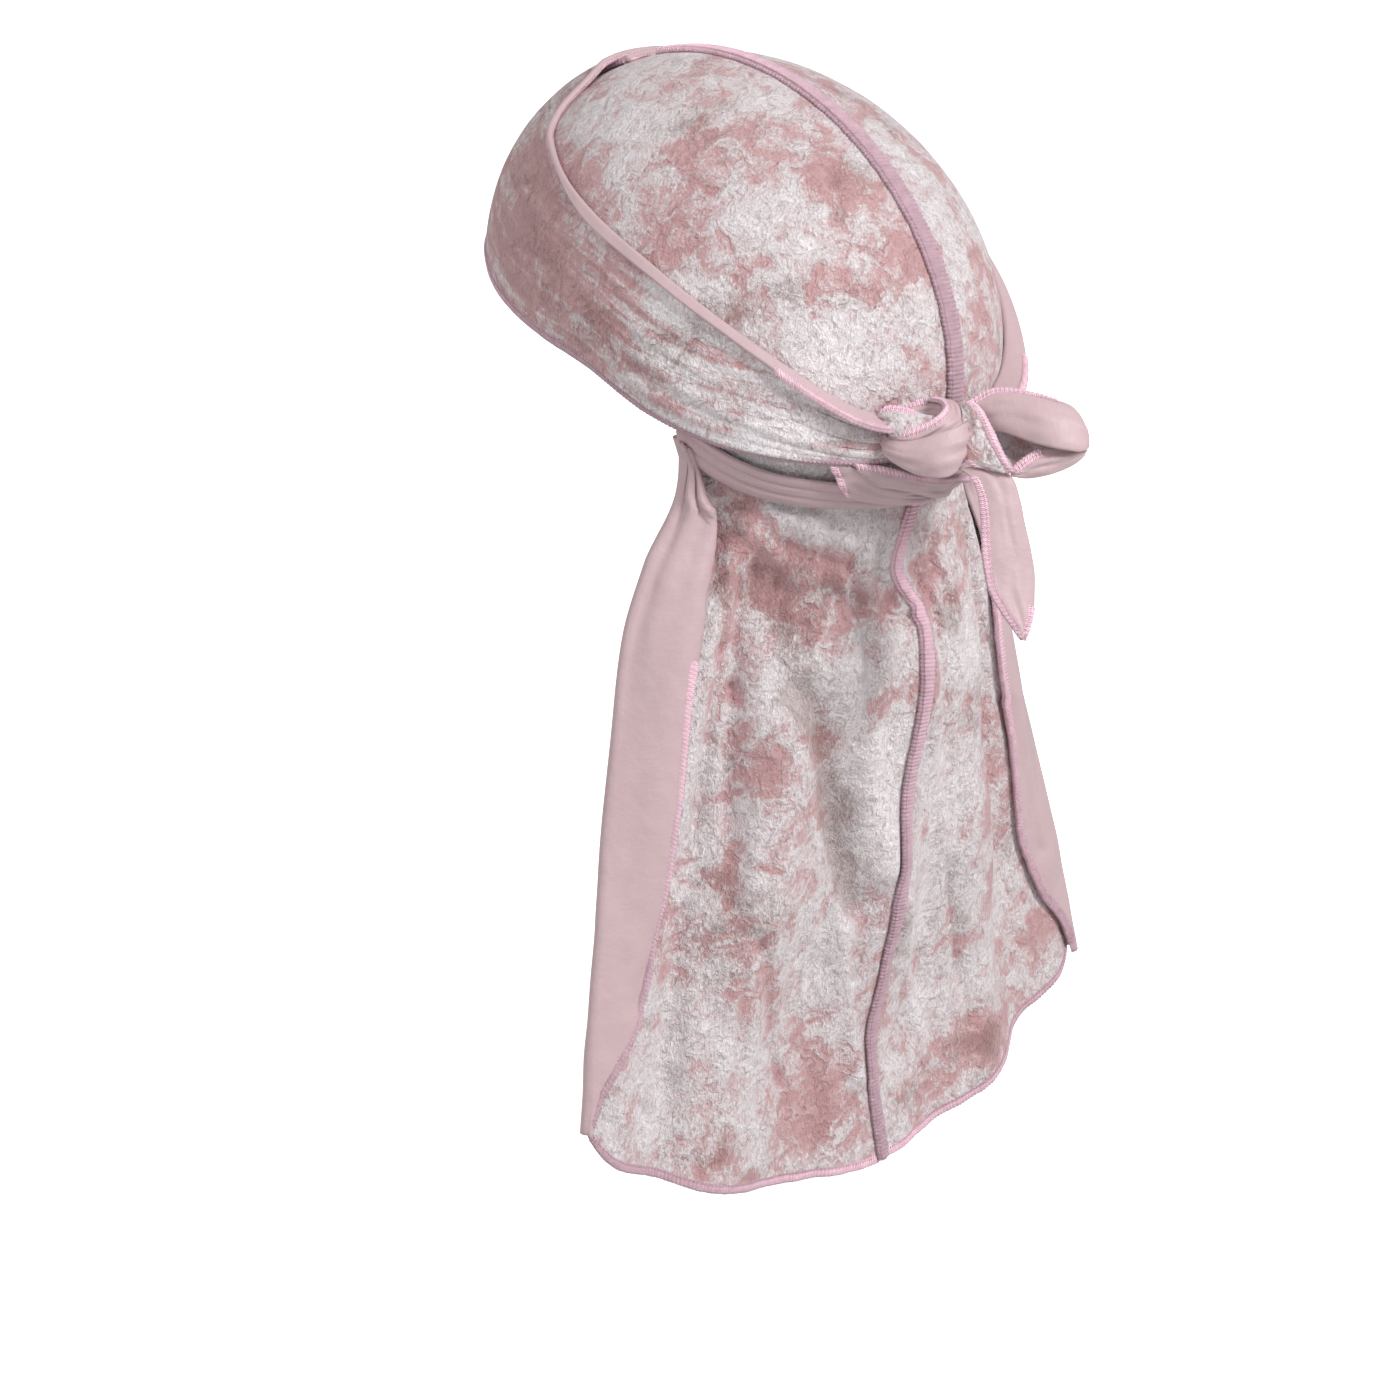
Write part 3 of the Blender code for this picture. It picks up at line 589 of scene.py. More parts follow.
def row_normals(rows, outward):
    """The cloth's normals at every point of its rows, facing outward on the whole."""
    normals = []
    last_row, last_column = len(rows) - 1, len(rows[0]) - 1
    for i, row in enumerate(rows):
        line = []
        for j in range(len(row)):
            down = rows[min(i + 1, last_row)][j] - rows[max(i - 1, 0)][j]
            across = row[min(j + 1, last_column)] - row[max(j - 1, 0)]
            line.append(down.cross(across).normalized())
        normals.append(line)
    if sum(normal.dot(outward) for line in normals for normal in line) < 0:
        normals = [[-normal for normal in line] for line in normals]
    return normals


def raised(rows, outward, relief):
    """The rows pushed along their normals by relief(share of the width, point)."""
    normals = row_normals(rows, outward)
    wide = len(rows[0]) - 1
    return [
        [point + normals[i][j] * relief(j / wide, point) for j, point in enumerate(row)]
        for i, row in enumerate(rows)
    ]


def lengths(points):
    """The distance along a line of points at each of them."""
    total = [0.0]
    for before, after in zip(points, points[1:]):
        total.append(total[-1] + (after - before).length)
    return total


def grid_mesh(name, rows, outward, closed=False):
    """A mesh through the rows, with a UV map in metres across and along the cloth."""
    mesh = bmesh.new()
    wide, tall = len(rows[0]) - 1, len(rows) - 1
    bmesh.ops.create_grid(mesh, x_segments=wide, y_segments=tall, size=1.0)
    across = [lengths(row) for row in rows]
    columns = [lengths([row[j] for row in rows]) for j in range(wide + 1)]
    uv = mesh.loops.layers.uv.new("UVMap")
    places = {}
    for vert in mesh.verts:
        j = round((vert.co.x + 1) / 2 * wide)
        i = round((vert.co.y + 1) / 2 * tall)
        places[vert.index] = (i, j)
    for face in mesh.faces:
        for loop in face.loops:
            i, j = places[loop.vert.index]
            loop[uv].uv = (across[i][j], columns[j][i])
    for vert in mesh.verts:
        i, j = places[vert.index]
        vert.co = rows[i][j]
    mesh.normal_update()
    if sum(face.normal.dot(outward) * face.calc_area() for face in mesh.faces) < 0:
        bmesh.ops.reverse_faces(mesh, faces=mesh.faces)
    if closed:
        bmesh.ops.remove_doubles(mesh, verts=mesh.verts, dist=1e-6)
    data = bpy.data.meshes.new(name)
    mesh.to_mesh(data)
    mesh.free()
    data.shade_smooth()
    return data


def add_piece(name, data, materials, slot, *nodes):
    """Puts a finished mesh in the scene. It rides on the frame and stands for the CAD nodes."""
    piece = bpy.data.objects.new(name, data)
    bpy.context.scene.collection.objects.link(piece)
    for material in materials:
        data.materials.append(material)
    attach(piece, "root")
    if nodes:
        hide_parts(*nodes)
    return piece


def add_wall(piece, thickness, even=True):
    """Gives cloth its thickness. Its reverse and its cut edges take the second material."""
    wall = piece.modifiers.new("Cloth thickness", "SOLIDIFY")
    wall.thickness = thickness
    wall.offset = 0.0
    wall.use_even_offset = even
    wall.material_offset = 1
    wall.material_offset_rim = 1


def declare_sheet(rows):
    """Works out the width, length and area that a piece of cloth was cut to, but keeps none of
    them.
    """
    width = max(lengths(row)[-1] for row in rows)
    length = max(lengths([row[j] for row in rows])[-1] for j in range(0, len(rows[0]), 4))
    area = 0.0
    for upper, lower in zip(rows, rows[1:]):
        for j in range(len(upper) - 1):
            diagonal = lower[j + 1] - upper[j]
            other = lower[j] - upper[j + 1]
            area += diagonal.cross(other).length / 2
    area = min(max(area, LEAST_FILL * width * length), width * length)


def cloth(name, rows, outward, materials, slot, nodes, even=True):
    """A piece of cloth through the rows, with its wall; its cut size is worked out but not kept."""
    data = grid_mesh(name, rows, outward)
    mark_pile(data)
    piece = add_piece(name, data, materials, slot, *nodes)
    add_wall(piece, WALL, even)
    declare_sheet(rows)


def creased(point):
    """The tail's creases at a point: how deep, and the painted shade and light that they give the
    pile.
    """
    depth, rose, painted_shade = 0.0, 0.0, 0.0
    if point.z > CREASES_BELOW:
        return depth, rose, painted_shade
    x, z = point.x * 100, point.z * 100
    for ax, az, bx, bz, reach, deep, rose_shade, row_shade in TAIL_CREASES[1:]:
        span_x, span_z = bx - ax, bz - az
        along = ((x - ax) * span_x + (z - az) * span_z) / (span_x**2 + span_z**2)
        along = min(1.0, max(0.0, along))
        gap = math.hypot(x - ax - along * span_x, z - az - along * span_z) / (reach / 10)
        if gap < 3:
            weight = math.exp(-gap * gap) * smooth((CREASES_BELOW - point.z) / CREASES_EASE)
            depth += deep / 1000 * weight
            rose += rose_shade * weight
            painted_shade += row_shade * weight
    return depth, rose, painted_shade


def mark_pile(data):
    """Writes how rose the pile lies at each point, with the painted shade and light, for the velvet
    to read.
    """
    pile_light_layer = data.attributes.new("pile_and_painted_light", "FLOAT", "POINT")
    shade_layer = data.attributes.new("painted_crease_shade", "FLOAT", "POINT")
    for vert, pile_light_value, shade_value in zip(data.vertices, pile_light_layer.data, shade_layer.data):
        total, painted_shade = creased(vert.co)[1:]
        for x, y, z, reach, depth in PILE_AND_LIGHT_SPOTS[1:]:
            gap = (vert.co - Vector((x, y, z)) / 100).length / (reach / 100)
            if gap < 3:
                total += depth * math.exp(-gap * gap)
        pile_light_value.value = max(PILE_LIMITS[0], min(PILE_LIMITS[1], total))
        shade_value.value = max(0.0, min(1.0, painted_shade))


def beside_seam(point, side, share):
    """Mirrors a point to its side and keeps it clear of the other side at the seam."""
    return Vector((side * (point.x + SEAM_GAP / 2 * (1 - share)), point.y, point.z))


def laid_level(point, offset):
    """Moves a point level with the ground until it lies that far off the hollow."""
    place = point - HOLLOW_CENTRE
    azimuth = math.degrees(math.atan2(place.x, -(place.y + HOLLOW_LEAN * place.z)))
    return outside_point(azimuth, place.z, offset)


def crown_rows(side):
    """The crown half of a panel, from its front edge over the top to under the nape strap."""
    front = fan_turn(0, BROW_HEIGHT)
    back = fan_turn(180, look_up(NAPE_STRAP, 180, "upper") * HOLLOW_HEIGHT)
    shares = [j / CROWN_COLUMNS for j in range(CROWN_COLUMNS + 1)]
    rows = []
    for i in range(CROWN_ROWS + 1):
        turn = front + (back - front) * i / CROWN_ROWS
        rows.append([
            beside_seam(fan_point(turn, FAN_SPREAD * share, WALL / 2), side, share)
            for share in shares
        ])
    under = [beside_seam(nape_join(share, 0.5, WALL / 2), side, share) for share in shares]
    last = rows[-1]
    for i in range(1, NAPE_ROWS + 1):
        rows.append([
            laid_level(above.lerp(below, i / NAPE_ROWS), WALL / 2)
            for above, below in zip(last, under)
        ])
    return rows


def crown_relief(wide, point):
    """The crown's fine creases: short puckers beside the seam and long soft ones elsewhere."""
    pucker = math.exp(-((wide / 0.07) ** 2)) * (half_up(ripple(point, 0.005)))
    soft = half_up(ripple(point, 0.016, 3.0))
    free = smooth(min(wide / 0.02, 1.0))
    return free * (CROWN_PUCKER * pucker + CROWN_SOFT * soft)


def tail_relief(side, drop, share):
    """The tail's gathers, which fan out from the nape, and its smaller folds."""
    fan = share * 13 + ripple(Vector((share * 2, drop, side)), 1.0) * 1.4
    gather = half_up(math.cos(fan * math.pi)) ** 1.5
    gather *= smooth(drop / 0.05) * (1 - smooth((drop - 0.10) / 0.38))
    hang = noise.noise(Vector((share * 6 - drop * 1.2 * side, drop * 1.6, 4.0 + side)))
    hang += 0.5 * noise.noise(Vector((share * 15, drop * 3.0, 9.0 + side)))
    hang *= smooth(drop / 0.12)
    crush = noise.noise(Vector((share * 11, drop * 17, 2.0 + side)))
    crush *= smooth((drop - 0.35) / 0.4)
    return TAIL_GATHER * gather + TAIL_HANG * hang + TAIL_CRUSH * crush


def tail_surface(side, drop, share):
    """A point of the tail's cloth with all of its folds."""
    point = tail_point(side, drop, share)
    free = faded(share, 0.05)
    free *= 1 - 0.7 * smooth((drop - 0.86) / 0.14)
    push = tail_relief(side, drop, share) * (0.25 + 0.75 * free) - creased(point)[0] * free
    return point + tail_outward(side, share) * push


def tail_rows(side):
    """The tail half of a panel, from under the nape strap to the hem, with its turned side edge."""
    rows = []
    shares = [j / TAIL_COLUMNS for j in range(TAIL_COLUMNS + 1)]
    top = [beside_seam(nape_join(share, 0.45, WALL / 2), side, share) for share in shares]
    hanging = [
        [tail_surface(side, (i / TAIL_ROWS) ** TAIL_CROWDING, share) for share in shares]
        for i in range(TAIL_ROWS + 1)
    ]
    for i in range(JOIN_ROWS):
        rows.append([a.lerp(b, i / JOIN_ROWS) for a, b in zip(top, hanging[0])])
    rows += hanging
    return [
        row + hem_points(row, side, max(0, i - JOIN_ROWS) / TAIL_ROWS)
        for i, row in enumerate(rows)
    ]


def level_normal(ahead, behind, side):
    """The cloth's level direction between two points of a row, and the way it faces there."""
    along = Vector((ahead.x - behind.x, ahead.y - behind.y, 0.0)).normalized()
    return along, Vector((-along.y, along.x, 0.0)) * side


def half_turn(edge, along, outward, radius):
    """The points of a cloth's edge that rolls over outwards through half a turn."""
    turned = []
    for k in range(1, TURN_COLUMNS + 1):
        angle = math.pi * k / TURN_COLUMNS
        turned.append(
            edge + along * radius * math.sin(angle) + outward * radius * (1 - math.cos(angle))
        )
    return turned


def hem_points(row, side, drop):
    """The side edge of one row turned outwards and laid back along the velvet."""
    edge = row[-1]
    along, outward = level_normal(edge, row[-4], side)
    width = HEM_WIDTH * smooth((drop + 0.12) / 0.4) * smooth((1.06 - drop) / 0.35)
    radius = (WALL + HEM_GAP) / 2
    turned = half_turn(edge, along, outward, radius)
    back = row[::-1]
    gone = lengths(back)
    at = 0
    for k in range(1, HEM_COLUMNS + 1):
        share = k / HEM_COLUMNS
        while at < len(back) - 5 and gone[at + 1] < width * share:
            at += 1
        part = min(1.0, (width * share - gone[at]) / max(1e-6, gone[at + 1] - gone[at]))
        under = back[at].lerp(back[at + 1], part)
        outward = level_normal(back[max(at - 3, 0)], back[at + 4], side)[1]
        lift = radius * 2 + HEM_LIFT * math.sin(math.pi * share) - HEM_GAP * 0.45 * share
        lift += noise.noise(Vector((share * 1.5, drop * 5.0, 7.0 * side))) * HEM_LIFT * share
        pleat = half_up(math.cos(share * HEM_PLEATS * 2 * math.pi + drop * 5))
        lift += HEM_PLEAT * pleat * (1 - smooth(drop / 0.45)) * smooth(share / 0.2)
        turned.append(under + outward * lift)
    return turned


def strap_offset(azimuth, share, side):
    """How far the middle of the brow strap's cloth lies off the hollow."""
    lift = STRAP_LIFT * look_up(BROW_STRAP, azimuth, "lift") * (1 - smooth(share / 0.75))
    offset = OUTER + WALL / 2 + lift
    if side > 0:
        offset += OUTER * (1 - smooth((azimuth - STRAP_LAP - 4) / 22))
    else:
        offset += (RIDGE_HEIGHT + WALL) * smooth((azimuth - 162) / 12)
    return offset


def strap_creases(azimuth, share, side):
    """The brow strap's creases, drawn tight towards the knot and faint at the brow."""
    tight = smooth((azimuth - 35) / 90)
    drawn = noise.noise(Vector((azimuth / 55, share * 11 + azimuth / 70, 5.0 * side)))
    drawn += 0.5 * noise.noise(Vector((azimuth / 24, share * 24, 11.0 * side)))
    pinch = smooth((azimuth - 115) / 50)
    ridges = half_up(math.cos(share * 6 * math.pi + azimuth / 20)) * pinch
    soft = half_up(noise.noise(Vector((azimuth / 9, share * 7, 2.0 * side))))
    relief = STRAP_DRAWN * tight * half_up(drawn) + STRAP_RIDGE * ridges + STRAP_SOFT * soft
    return max(0.0, relief) * faded(share, 0.04)


def brow_strap_rows(side):
    """A brow strap from past the middle of the brow back to the knot, with its turned top edge."""
    last = BROW_STRAP[-1][0] if side > 0 else RIGHT_STRAP_END
    rows = []
    for i in range(STRAP_ROWS + 1):
        azimuth = -STRAP_LAP + (last + STRAP_LAP) * i / STRAP_ROWS
        key = min(abs(azimuth), BROW_STRAP[-1][0])
        lower = math.asin(look_up(BROW_STRAP, key, "lower"))
        upper = math.asin(look_up(BROW_STRAP, key, "upper"))
        slant = STRAP_LAP * FRONT_SLANT * (1 - smooth((azimuth + STRAP_LAP) / 30))
        row = []
        for j in range(STRAP_COLUMNS + 1):
            share = j / STRAP_COLUMNS
            height = HOLLOW_HEIGHT * math.sin(lower + (upper - lower) * share)
            place = azimuth + slant * (1 - share)
            offset = strap_offset(place, share, side) + strap_creases(place, share, side)
            row.append(outside_point(place, height, offset))
        row += turned_points(row, azimuth)
        for point in row:
            point.x *= side
        rows.append(row)
    return rows


def turned_points(row, azimuth):
    """The strap's top edge rolled outwards, to show its satin."""
    edge, inner = row[-1], row[-4]
    along = (edge - inner).normalized()
    outward = edge - HOLLOW_CENTRE
    outward = (outward - along * outward.dot(along)).normalized()
    turned_width = 0.55 * smooth((azimuth - 70) / 25) + 0.45 * smooth((azimuth - 128) / 30)
    radius = (WALL + TURN_GAP) / 2 * (0.45 + 0.20 * turned_width)
    turned = half_turn(edge, along, outward, radius)
    start = turned[-1]
    widened = turned_width * (1 + 0.5 * smooth((azimuth - 140) / 22))
    width = TURN_LEAST + (TURN_WIDTH - TURN_LEAST) * widened
    for k in range(1, LAID_COLUMNS + 1):
        turned.append(start - along * width * k / LAID_COLUMNS)
    return turned


def nape_rows():
    """The nape strap, rolled into pleats that run round to the knot."""
    first = NAPE_STRAP[1][0]
    rows = []
    for i in range(PLEAT_ROWS + 1):
        azimuth = first + (360 - 2 * first) * i / PLEAT_ROWS
        key = azimuth if azimuth <= 180 else 360 - azimuth
        lower = look_up(NAPE_STRAP, key, "lower") * HOLLOW_HEIGHT
        upper = look_up(NAPE_STRAP, key, "upper") * HOLLOW_HEIGHT
        row = []
        for j in range(PLEAT_COLUMNS + 1):
            share = j / PLEAT_COLUMNS
            roll = abs(math.sin(math.pi * (share * 3 + (azimuth - 150) / 160))) ** 0.6
            crease = half_up(noise.noise(Vector((azimuth / 16, share * 9, 3.0))))
            relief = NAPE_RIDGE * roll + NAPE_CREASE * crease
            relief *= faded(share, 0.08)
            offset = OUTER + WALL / 2 + CLEARANCE + relief
            row.append(outside_point(azimuth, lower + (upper - lower) * share, offset))
        rows.append(row)
    return rows


def knot_middle():
    """The middle of the knot, as in the part's source."""
    azimuth = 180 - math.degrees(math.asin(KNOT_ACROSS / HOLLOW_HALF_LENGTH))
    offset = OUTER + RIDGE_HEIGHT + WALL / 2 + KNOT_HALF_DEPTH
    return outside_point(azimuth, -KNOT_DROP, offset)


def camera_place():
    """Where the camera stands, worked out from the middle of the hollow."""
    aim = Vector((
        math.cos(VIEW_ELEVATION) * math.sin(VIEW_AZIMUTH),
        -math.cos(VIEW_ELEVATION) * math.cos(VIEW_AZIMUTH),
        math.sin(VIEW_ELEVATION),
    ))
    return HOLLOW_CENTRE + aim * VIEW_DISTANCE


def view_axes():
    """The photograph's directions: to the right, up and towards the camera."""
    near = (camera_place() - VIEW_AIM).normalized()
    right = Vector((0, 0, 1)).cross(near).normalized()
    return right, near.cross(right), near


def seen_from(point, lift):
    """The spot that far off the hollow that the camera sees in line with a point."""
    camera = camera_place()
    return ray_to_hollow(camera, (point - camera).normalized(), lift, False)


def ribbon_rows(table, on_crown):
    """A strip of strap between the two edges that a table gives."""
    middle = knot_middle()
    right, up, near = view_axes()
    keyed = numbered(table)
    last = len(table) - 2
    edges = []
    for i in range(RIBBON_ROWS + 1):
        key = last * i / RIBBON_ROWS
        pair = []
        for edge in ("a", "b"):
            x, y, z = (
                look_up(keyed, key, f"{edge}_{way}") / 1000 for way in ("right", "up", "near")
            )
            point = middle + right * x + up * y
            pair.append(seen_from(point, z) if on_crown else point + near * z)
        edges.append(pair)
    rows = []
    for i, (one, other) in enumerate(edges):
        before, after = edges[max(i - 1, 0)], edges[min(i + 1, RIBBON_ROWS)]
        along = (after[0] + after[1]) - (before[0] + before[1])
        facing = along.cross(other - one).normalized()
        if i == 0 or facing.dot(last_facing) >= 0:
            last_facing = facing
        else:
            facing = last_facing
        key = last * i / RIBBON_ROWS
        swell = look_up(keyed, key, "swell") / 1000
        row = []
        for j in range(RIBBON_COLUMNS + 1):
            share = j / RIBBON_COLUMNS
            round_share = 4 * share * (1 - share)
            fine = noise.noise(Vector((key * 0.55, share * 4.5, table[1][0]))) * KNOT_CREASE
            row.append(one.lerp(other, share) + facing * round_share * (swell + fine))
        rows.append(row)
    if sum(row_facing(rows, i).dot(near) for i in range(RIBBON_ROWS)) < 0:
        rows = [[edge_line(row, j) * 2 - point for j, point in enumerate(row)] for row in rows]
    return rows


def edge_line(row, column):
    """The straight line between the ends of a row, at one of its columns."""
    return row[0].lerp(row[-1], column / (len(row) - 1))


def row_facing(rows, i):
    """The way that one row of a strip faces."""
    along = (rows[i + 1][0] + rows[i + 1][-1]) - (rows[i][0] + rows[i][-1])
    return along.cross(rows[i][-1] - rows[i][0])


def evenly(lines, step):
    """Resamples parallel lists of vectors, a fixed step apart along the first of them."""
    places = lengths(lines[0])
    count = max(4, round(places[-1] / step))
    made = [[] for _ in lines]
    at = 0
    for i in range(count + 1):
        place = places[-1] * i / count
        while at < len(places) - 2 and places[at + 1] < place:
            at += 1
        span = places[at + 1] - places[at]
        share = (place - places[at]) / span if span > 0 else 0.0
        for source, target in zip(lines, made):
            target.append(source[at].lerp(source[at + 1], share))
    return made


def stitched(name, line, across, facing, width, height, settings, past=None):
    """Overlock stitches along a line: a flat tube of thread with a rib for each stitch.

    Past is how far the thread stands out beyond an edge of cloth. Without it the line is the
    middle of the tube.
    """
    step = settings.stitch_pitch / STITCH_STEPS
    line, across, facing = evenly((line, across, facing), step)
    last = len(line) - 1
    rows = []
    for i, middle in enumerate(line):
        inward = across[i].normalized()
        outward = (facing[i] - inward * facing[i].dot(inward)).normalized()
        if past is not None:
            middle = middle + inward * (width / 2 - past)
        taper = math.sqrt(min(1.0, min(i, last - i) / STITCH_STEPS))
        loose = 1 + 0.10 * noise.noise(middle * 350)
        row = []
        for k in range(STITCH_RING + 1):
            angle = 2 * math.pi * k / STITCH_RING
            lie, stand = math.cos(angle), math.sin(angle)
            flat = math.copysign(abs(lie) ** 0.65, lie)
            phase = i / STITCH_STEPS + 0.22 * lie
            rib = abs(math.cos(math.pi * phase))
            reach = width / 2 * (0.93 + 0.12 * rib) * loose * taper
            thick = height / 2 * (0.62 + 0.46 * rib) * taper
            row.append(middle + inward * flat * reach + outward * stand * thick)
        rows.append(row)
    outward = rows[last // 2][0] - line[last // 2]
    data = grid_mesh(name, rows, outward, closed=True)
    turn_outward(data)
    return add_piece(name, data, [thread_finish(settings)], "thread")


def edge_thread(name, edge, settings, past, share=(1.0, 1.0)):
    """Overlock stitches over a cut edge of cloth, at a share of their full width and height."""
    width, height = settings.edge_width * share[0], settings.edge_height * share[1]
    stitched(name, *edge, width, height, settings, past)


def turn_outward(data):
    """Points the faces of a closed tube outwards."""
    mesh = bmesh.new()
    mesh.from_mesh(data)
    bmesh.ops.dissolve_degenerate(mesh, edges=mesh.edges, dist=1e-6)
    bmesh.ops.recalc_face_normals(mesh, faces=mesh.faces)
    mesh.to_mesh(data)
    mesh.free()
    data.shade_smooth()


def column_edge(rows, outward, column, inner, start=0.0, stop=1.0):
    """One lengthwise edge of a cloth: its points, the way into the cloth and the way it faces."""
    normals = row_normals(rows, outward)
    first, last = round(start * (len(rows) - 1)), round(stop * (len(rows) - 1))
    line = [rows[i][column] for i in range(first, last + 1)]
    into = [(rows[i][inner] - rows[i][column]).normalized() for i in range(first, last + 1)]
    facing = [normals[i][column] for i in range(first, last + 1)]
    return line, into, facing


def row_edge(rows, outward, row, inner, count=None):
    """One crosswise edge of a cloth: its points, the way into the cloth and the way it faces."""
    line = rows[row][:count]
    into = [(rows[inner][j] - point).normalized() for j, point in enumerate(line)]
    return line, into, row_normals(rows, outward)[row][:count]


# Materials


def connect(tree, made, inputs):
    """Sets some of a node's inputs, each to a value or to another node's socket."""
    for key, value in dict(inputs).items():
        if isinstance(value, bpy.types.NodeSocket):
            tree.links.new(value, made.inputs[key])
        else:
            made.inputs[key].default_value = value


def node(tree, kind, inputs=(), **settings):
    """Adds a shader node, with its settings, and its inputs as values or links."""
    made = tree.nodes.new(kind)
    for key, value in settings.items():
        setattr(made, key, value)
    connect(tree, made, inputs)
    return made


def maths(tree, operation, one, other=0.0, clamp=False):
    """The result of one sum on two values or sockets."""
    made = node(tree, "ShaderNodeMath", {0: one, 1: other}, operation=operation, use_clamp=clamp)
    return made.outputs[0]


def blend(tree, share, one, other, kind="MIX"):
    """A colour between two colours, or one laid on the other."""
    inputs = {0: share, 6: one, 7: other}
    return node(tree, "ShaderNodeMix", inputs, data_type="RGBA", blend_type=kind).outputs[2]


def ramp(tree, value, *stops):
    """A colour ramp through stops of a position and a colour."""
    made = node(tree, "ShaderNodeValToRGB", {"Fac": value})
    elements = made.color_ramp.elements
    while len(elements) < len(stops):
        elements.new(1.0)
    for element, (position, colour) in zip(elements, stops):
        element.position = position
        element.color = (*colour, 1.0) if len(colour) == 3 else colour
    return made.outputs["Color"]


def noise_of(tree, place, scale, detail, roughness, distortion=0.0):
    """Fractal noise at a place, from 0 to 1 about a half."""
    settings = {"Vector": place, "Scale": scale, "Detail": detail, "Roughness": roughness}
    settings["Distortion"] = distortion
    return node(tree, "ShaderNodeTexNoise", settings).outputs[0]


def scaled(tree, place, *scale):
    """A place or a UV map scaled differently along each axis."""
    return node(tree, "ShaderNodeMapping", {"Vector": place, "Scale": scale}).outputs[0]


def weighted(tree, *parts):
    """The sum of some values, each times its weight."""
    total = None
    for value, weight in parts:
        part = maths(tree, "MULTIPLY", value, weight)
        total = part if total is None else maths(tree, "ADD", total, part)
    return total


def centred(tree, value):
    """A noise value moved to lie about nothing."""
    return maths(tree, "SUBTRACT", value, 0.5)


def grey(tree, value):
    """A grey of that value, as a colour."""
    return node(tree, "ShaderNodeCombineColor", {0: value, 1: value, 2: value}).outputs[0]


def bumped(tree, height, strength):
    """The normal of a surface with a height in metres on it."""
    inputs = {"Strength": strength, "Distance": 1.0, "Height": height}
    return node(tree, "ShaderNodeBump", inputs).outputs[0]


def group(name, inputs, outputs):
    """An empty node group with named sockets, and its input and output nodes."""
    tree = bpy.data.node_groups.new(name, "ShaderNodeTree")
    kinds = {"value": "NodeSocketFloat", "colour": "NodeSocketColor", "vector": "NodeSocketVector"}
    for label, kind, default in inputs:
        socket = tree.interface.new_socket(name=label, in_out="INPUT", socket_type=kinds[kind])
        if default is not None:
            socket.default_value = default
    for label, kind in outputs:
        tree.interface.new_socket(name=label, in_out="OUTPUT", socket_type=kinds[kind])
    return tree, tree.nodes.new("NodeGroupInput").outputs, tree.nodes.new("NodeGroupOutput")


def place_group(tree, maker, inputs=()):
    """Places one of the shared groups in a material, and builds the group on first use."""
    shared = bpy.data.node_groups.get(maker.__name__) or maker()
    made = tree.nodes.new("ShaderNodeGroup")
    made.node_tree = shared
    connect(tree, made, inputs)
    return made.outputs


def fine_weave():
    """Warp and weft as a height, from a UV map in metres."""
    tree, given, result = group(
        "fine_weave",
        [("UV", "vector", None), ("Threads a metre", "value", 2500.0)],
        [("Height", "value")],
    )
    counted = node(
        tree, "ShaderNodeVectorMath", {0: given["UV"], 3: given["Threads a metre"]},
        operation="SCALE",
    ).outputs[0]
    parts = node(tree, "ShaderNodeSeparateXYZ", {0: counted}).outputs
    warp = maths(tree, "SINE", maths(tree, "MULTIPLY", parts[0], math.pi))
    weft = maths(tree, "SINE", maths(tree, "MULTIPLY", parts[1], math.pi))
    height = maths(tree, "ADD", maths(tree, "ABSOLUTE", warp), maths(tree, "ABSOLUTE", weft))
    tree.links.new(maths(tree, "MULTIPLY", height, 0.5), result.inputs["Height"])
    return tree


def cloth_tone():
    """Slow changes of tone over a cloth, as a colour to lay on its own."""
    tree, given, result = group(
        "cloth_tone",
        [("Place", "vector", None), ("Size", "value", 18.0), ("Depth", "value", 0.15)],
        [("Tone", "colour"), ("Value", "value")],
    )
    slow = noise_of(tree, given["Place"], given["Size"], 4.0, 0.6)
    swing = maths(tree, "MULTIPLY", centred(tree, slow), 2.0)
    tone = maths(tree, "ADD", 1.0, maths(tree, "MULTIPLY", swing, given["Depth"]))
    connect(tree, result, {"Tone": grey(tree, tone), "Value": slow})
    return tree


def new_material(name):
    """A material with its tree, shader and the usual coordinates."""
    material = bpy.data.materials.new(name)
    material.use_nodes = True
    tree = material.node_tree
    shader = tree.nodes["Principled BSDF"]
    place = tree.nodes.new("ShaderNodeTexCoord").outputs["Object"]
    uv = node(tree, "ShaderNodeUVMap", uv_map="UVMap").outputs[0]
    return material, tree, shader, place, uv


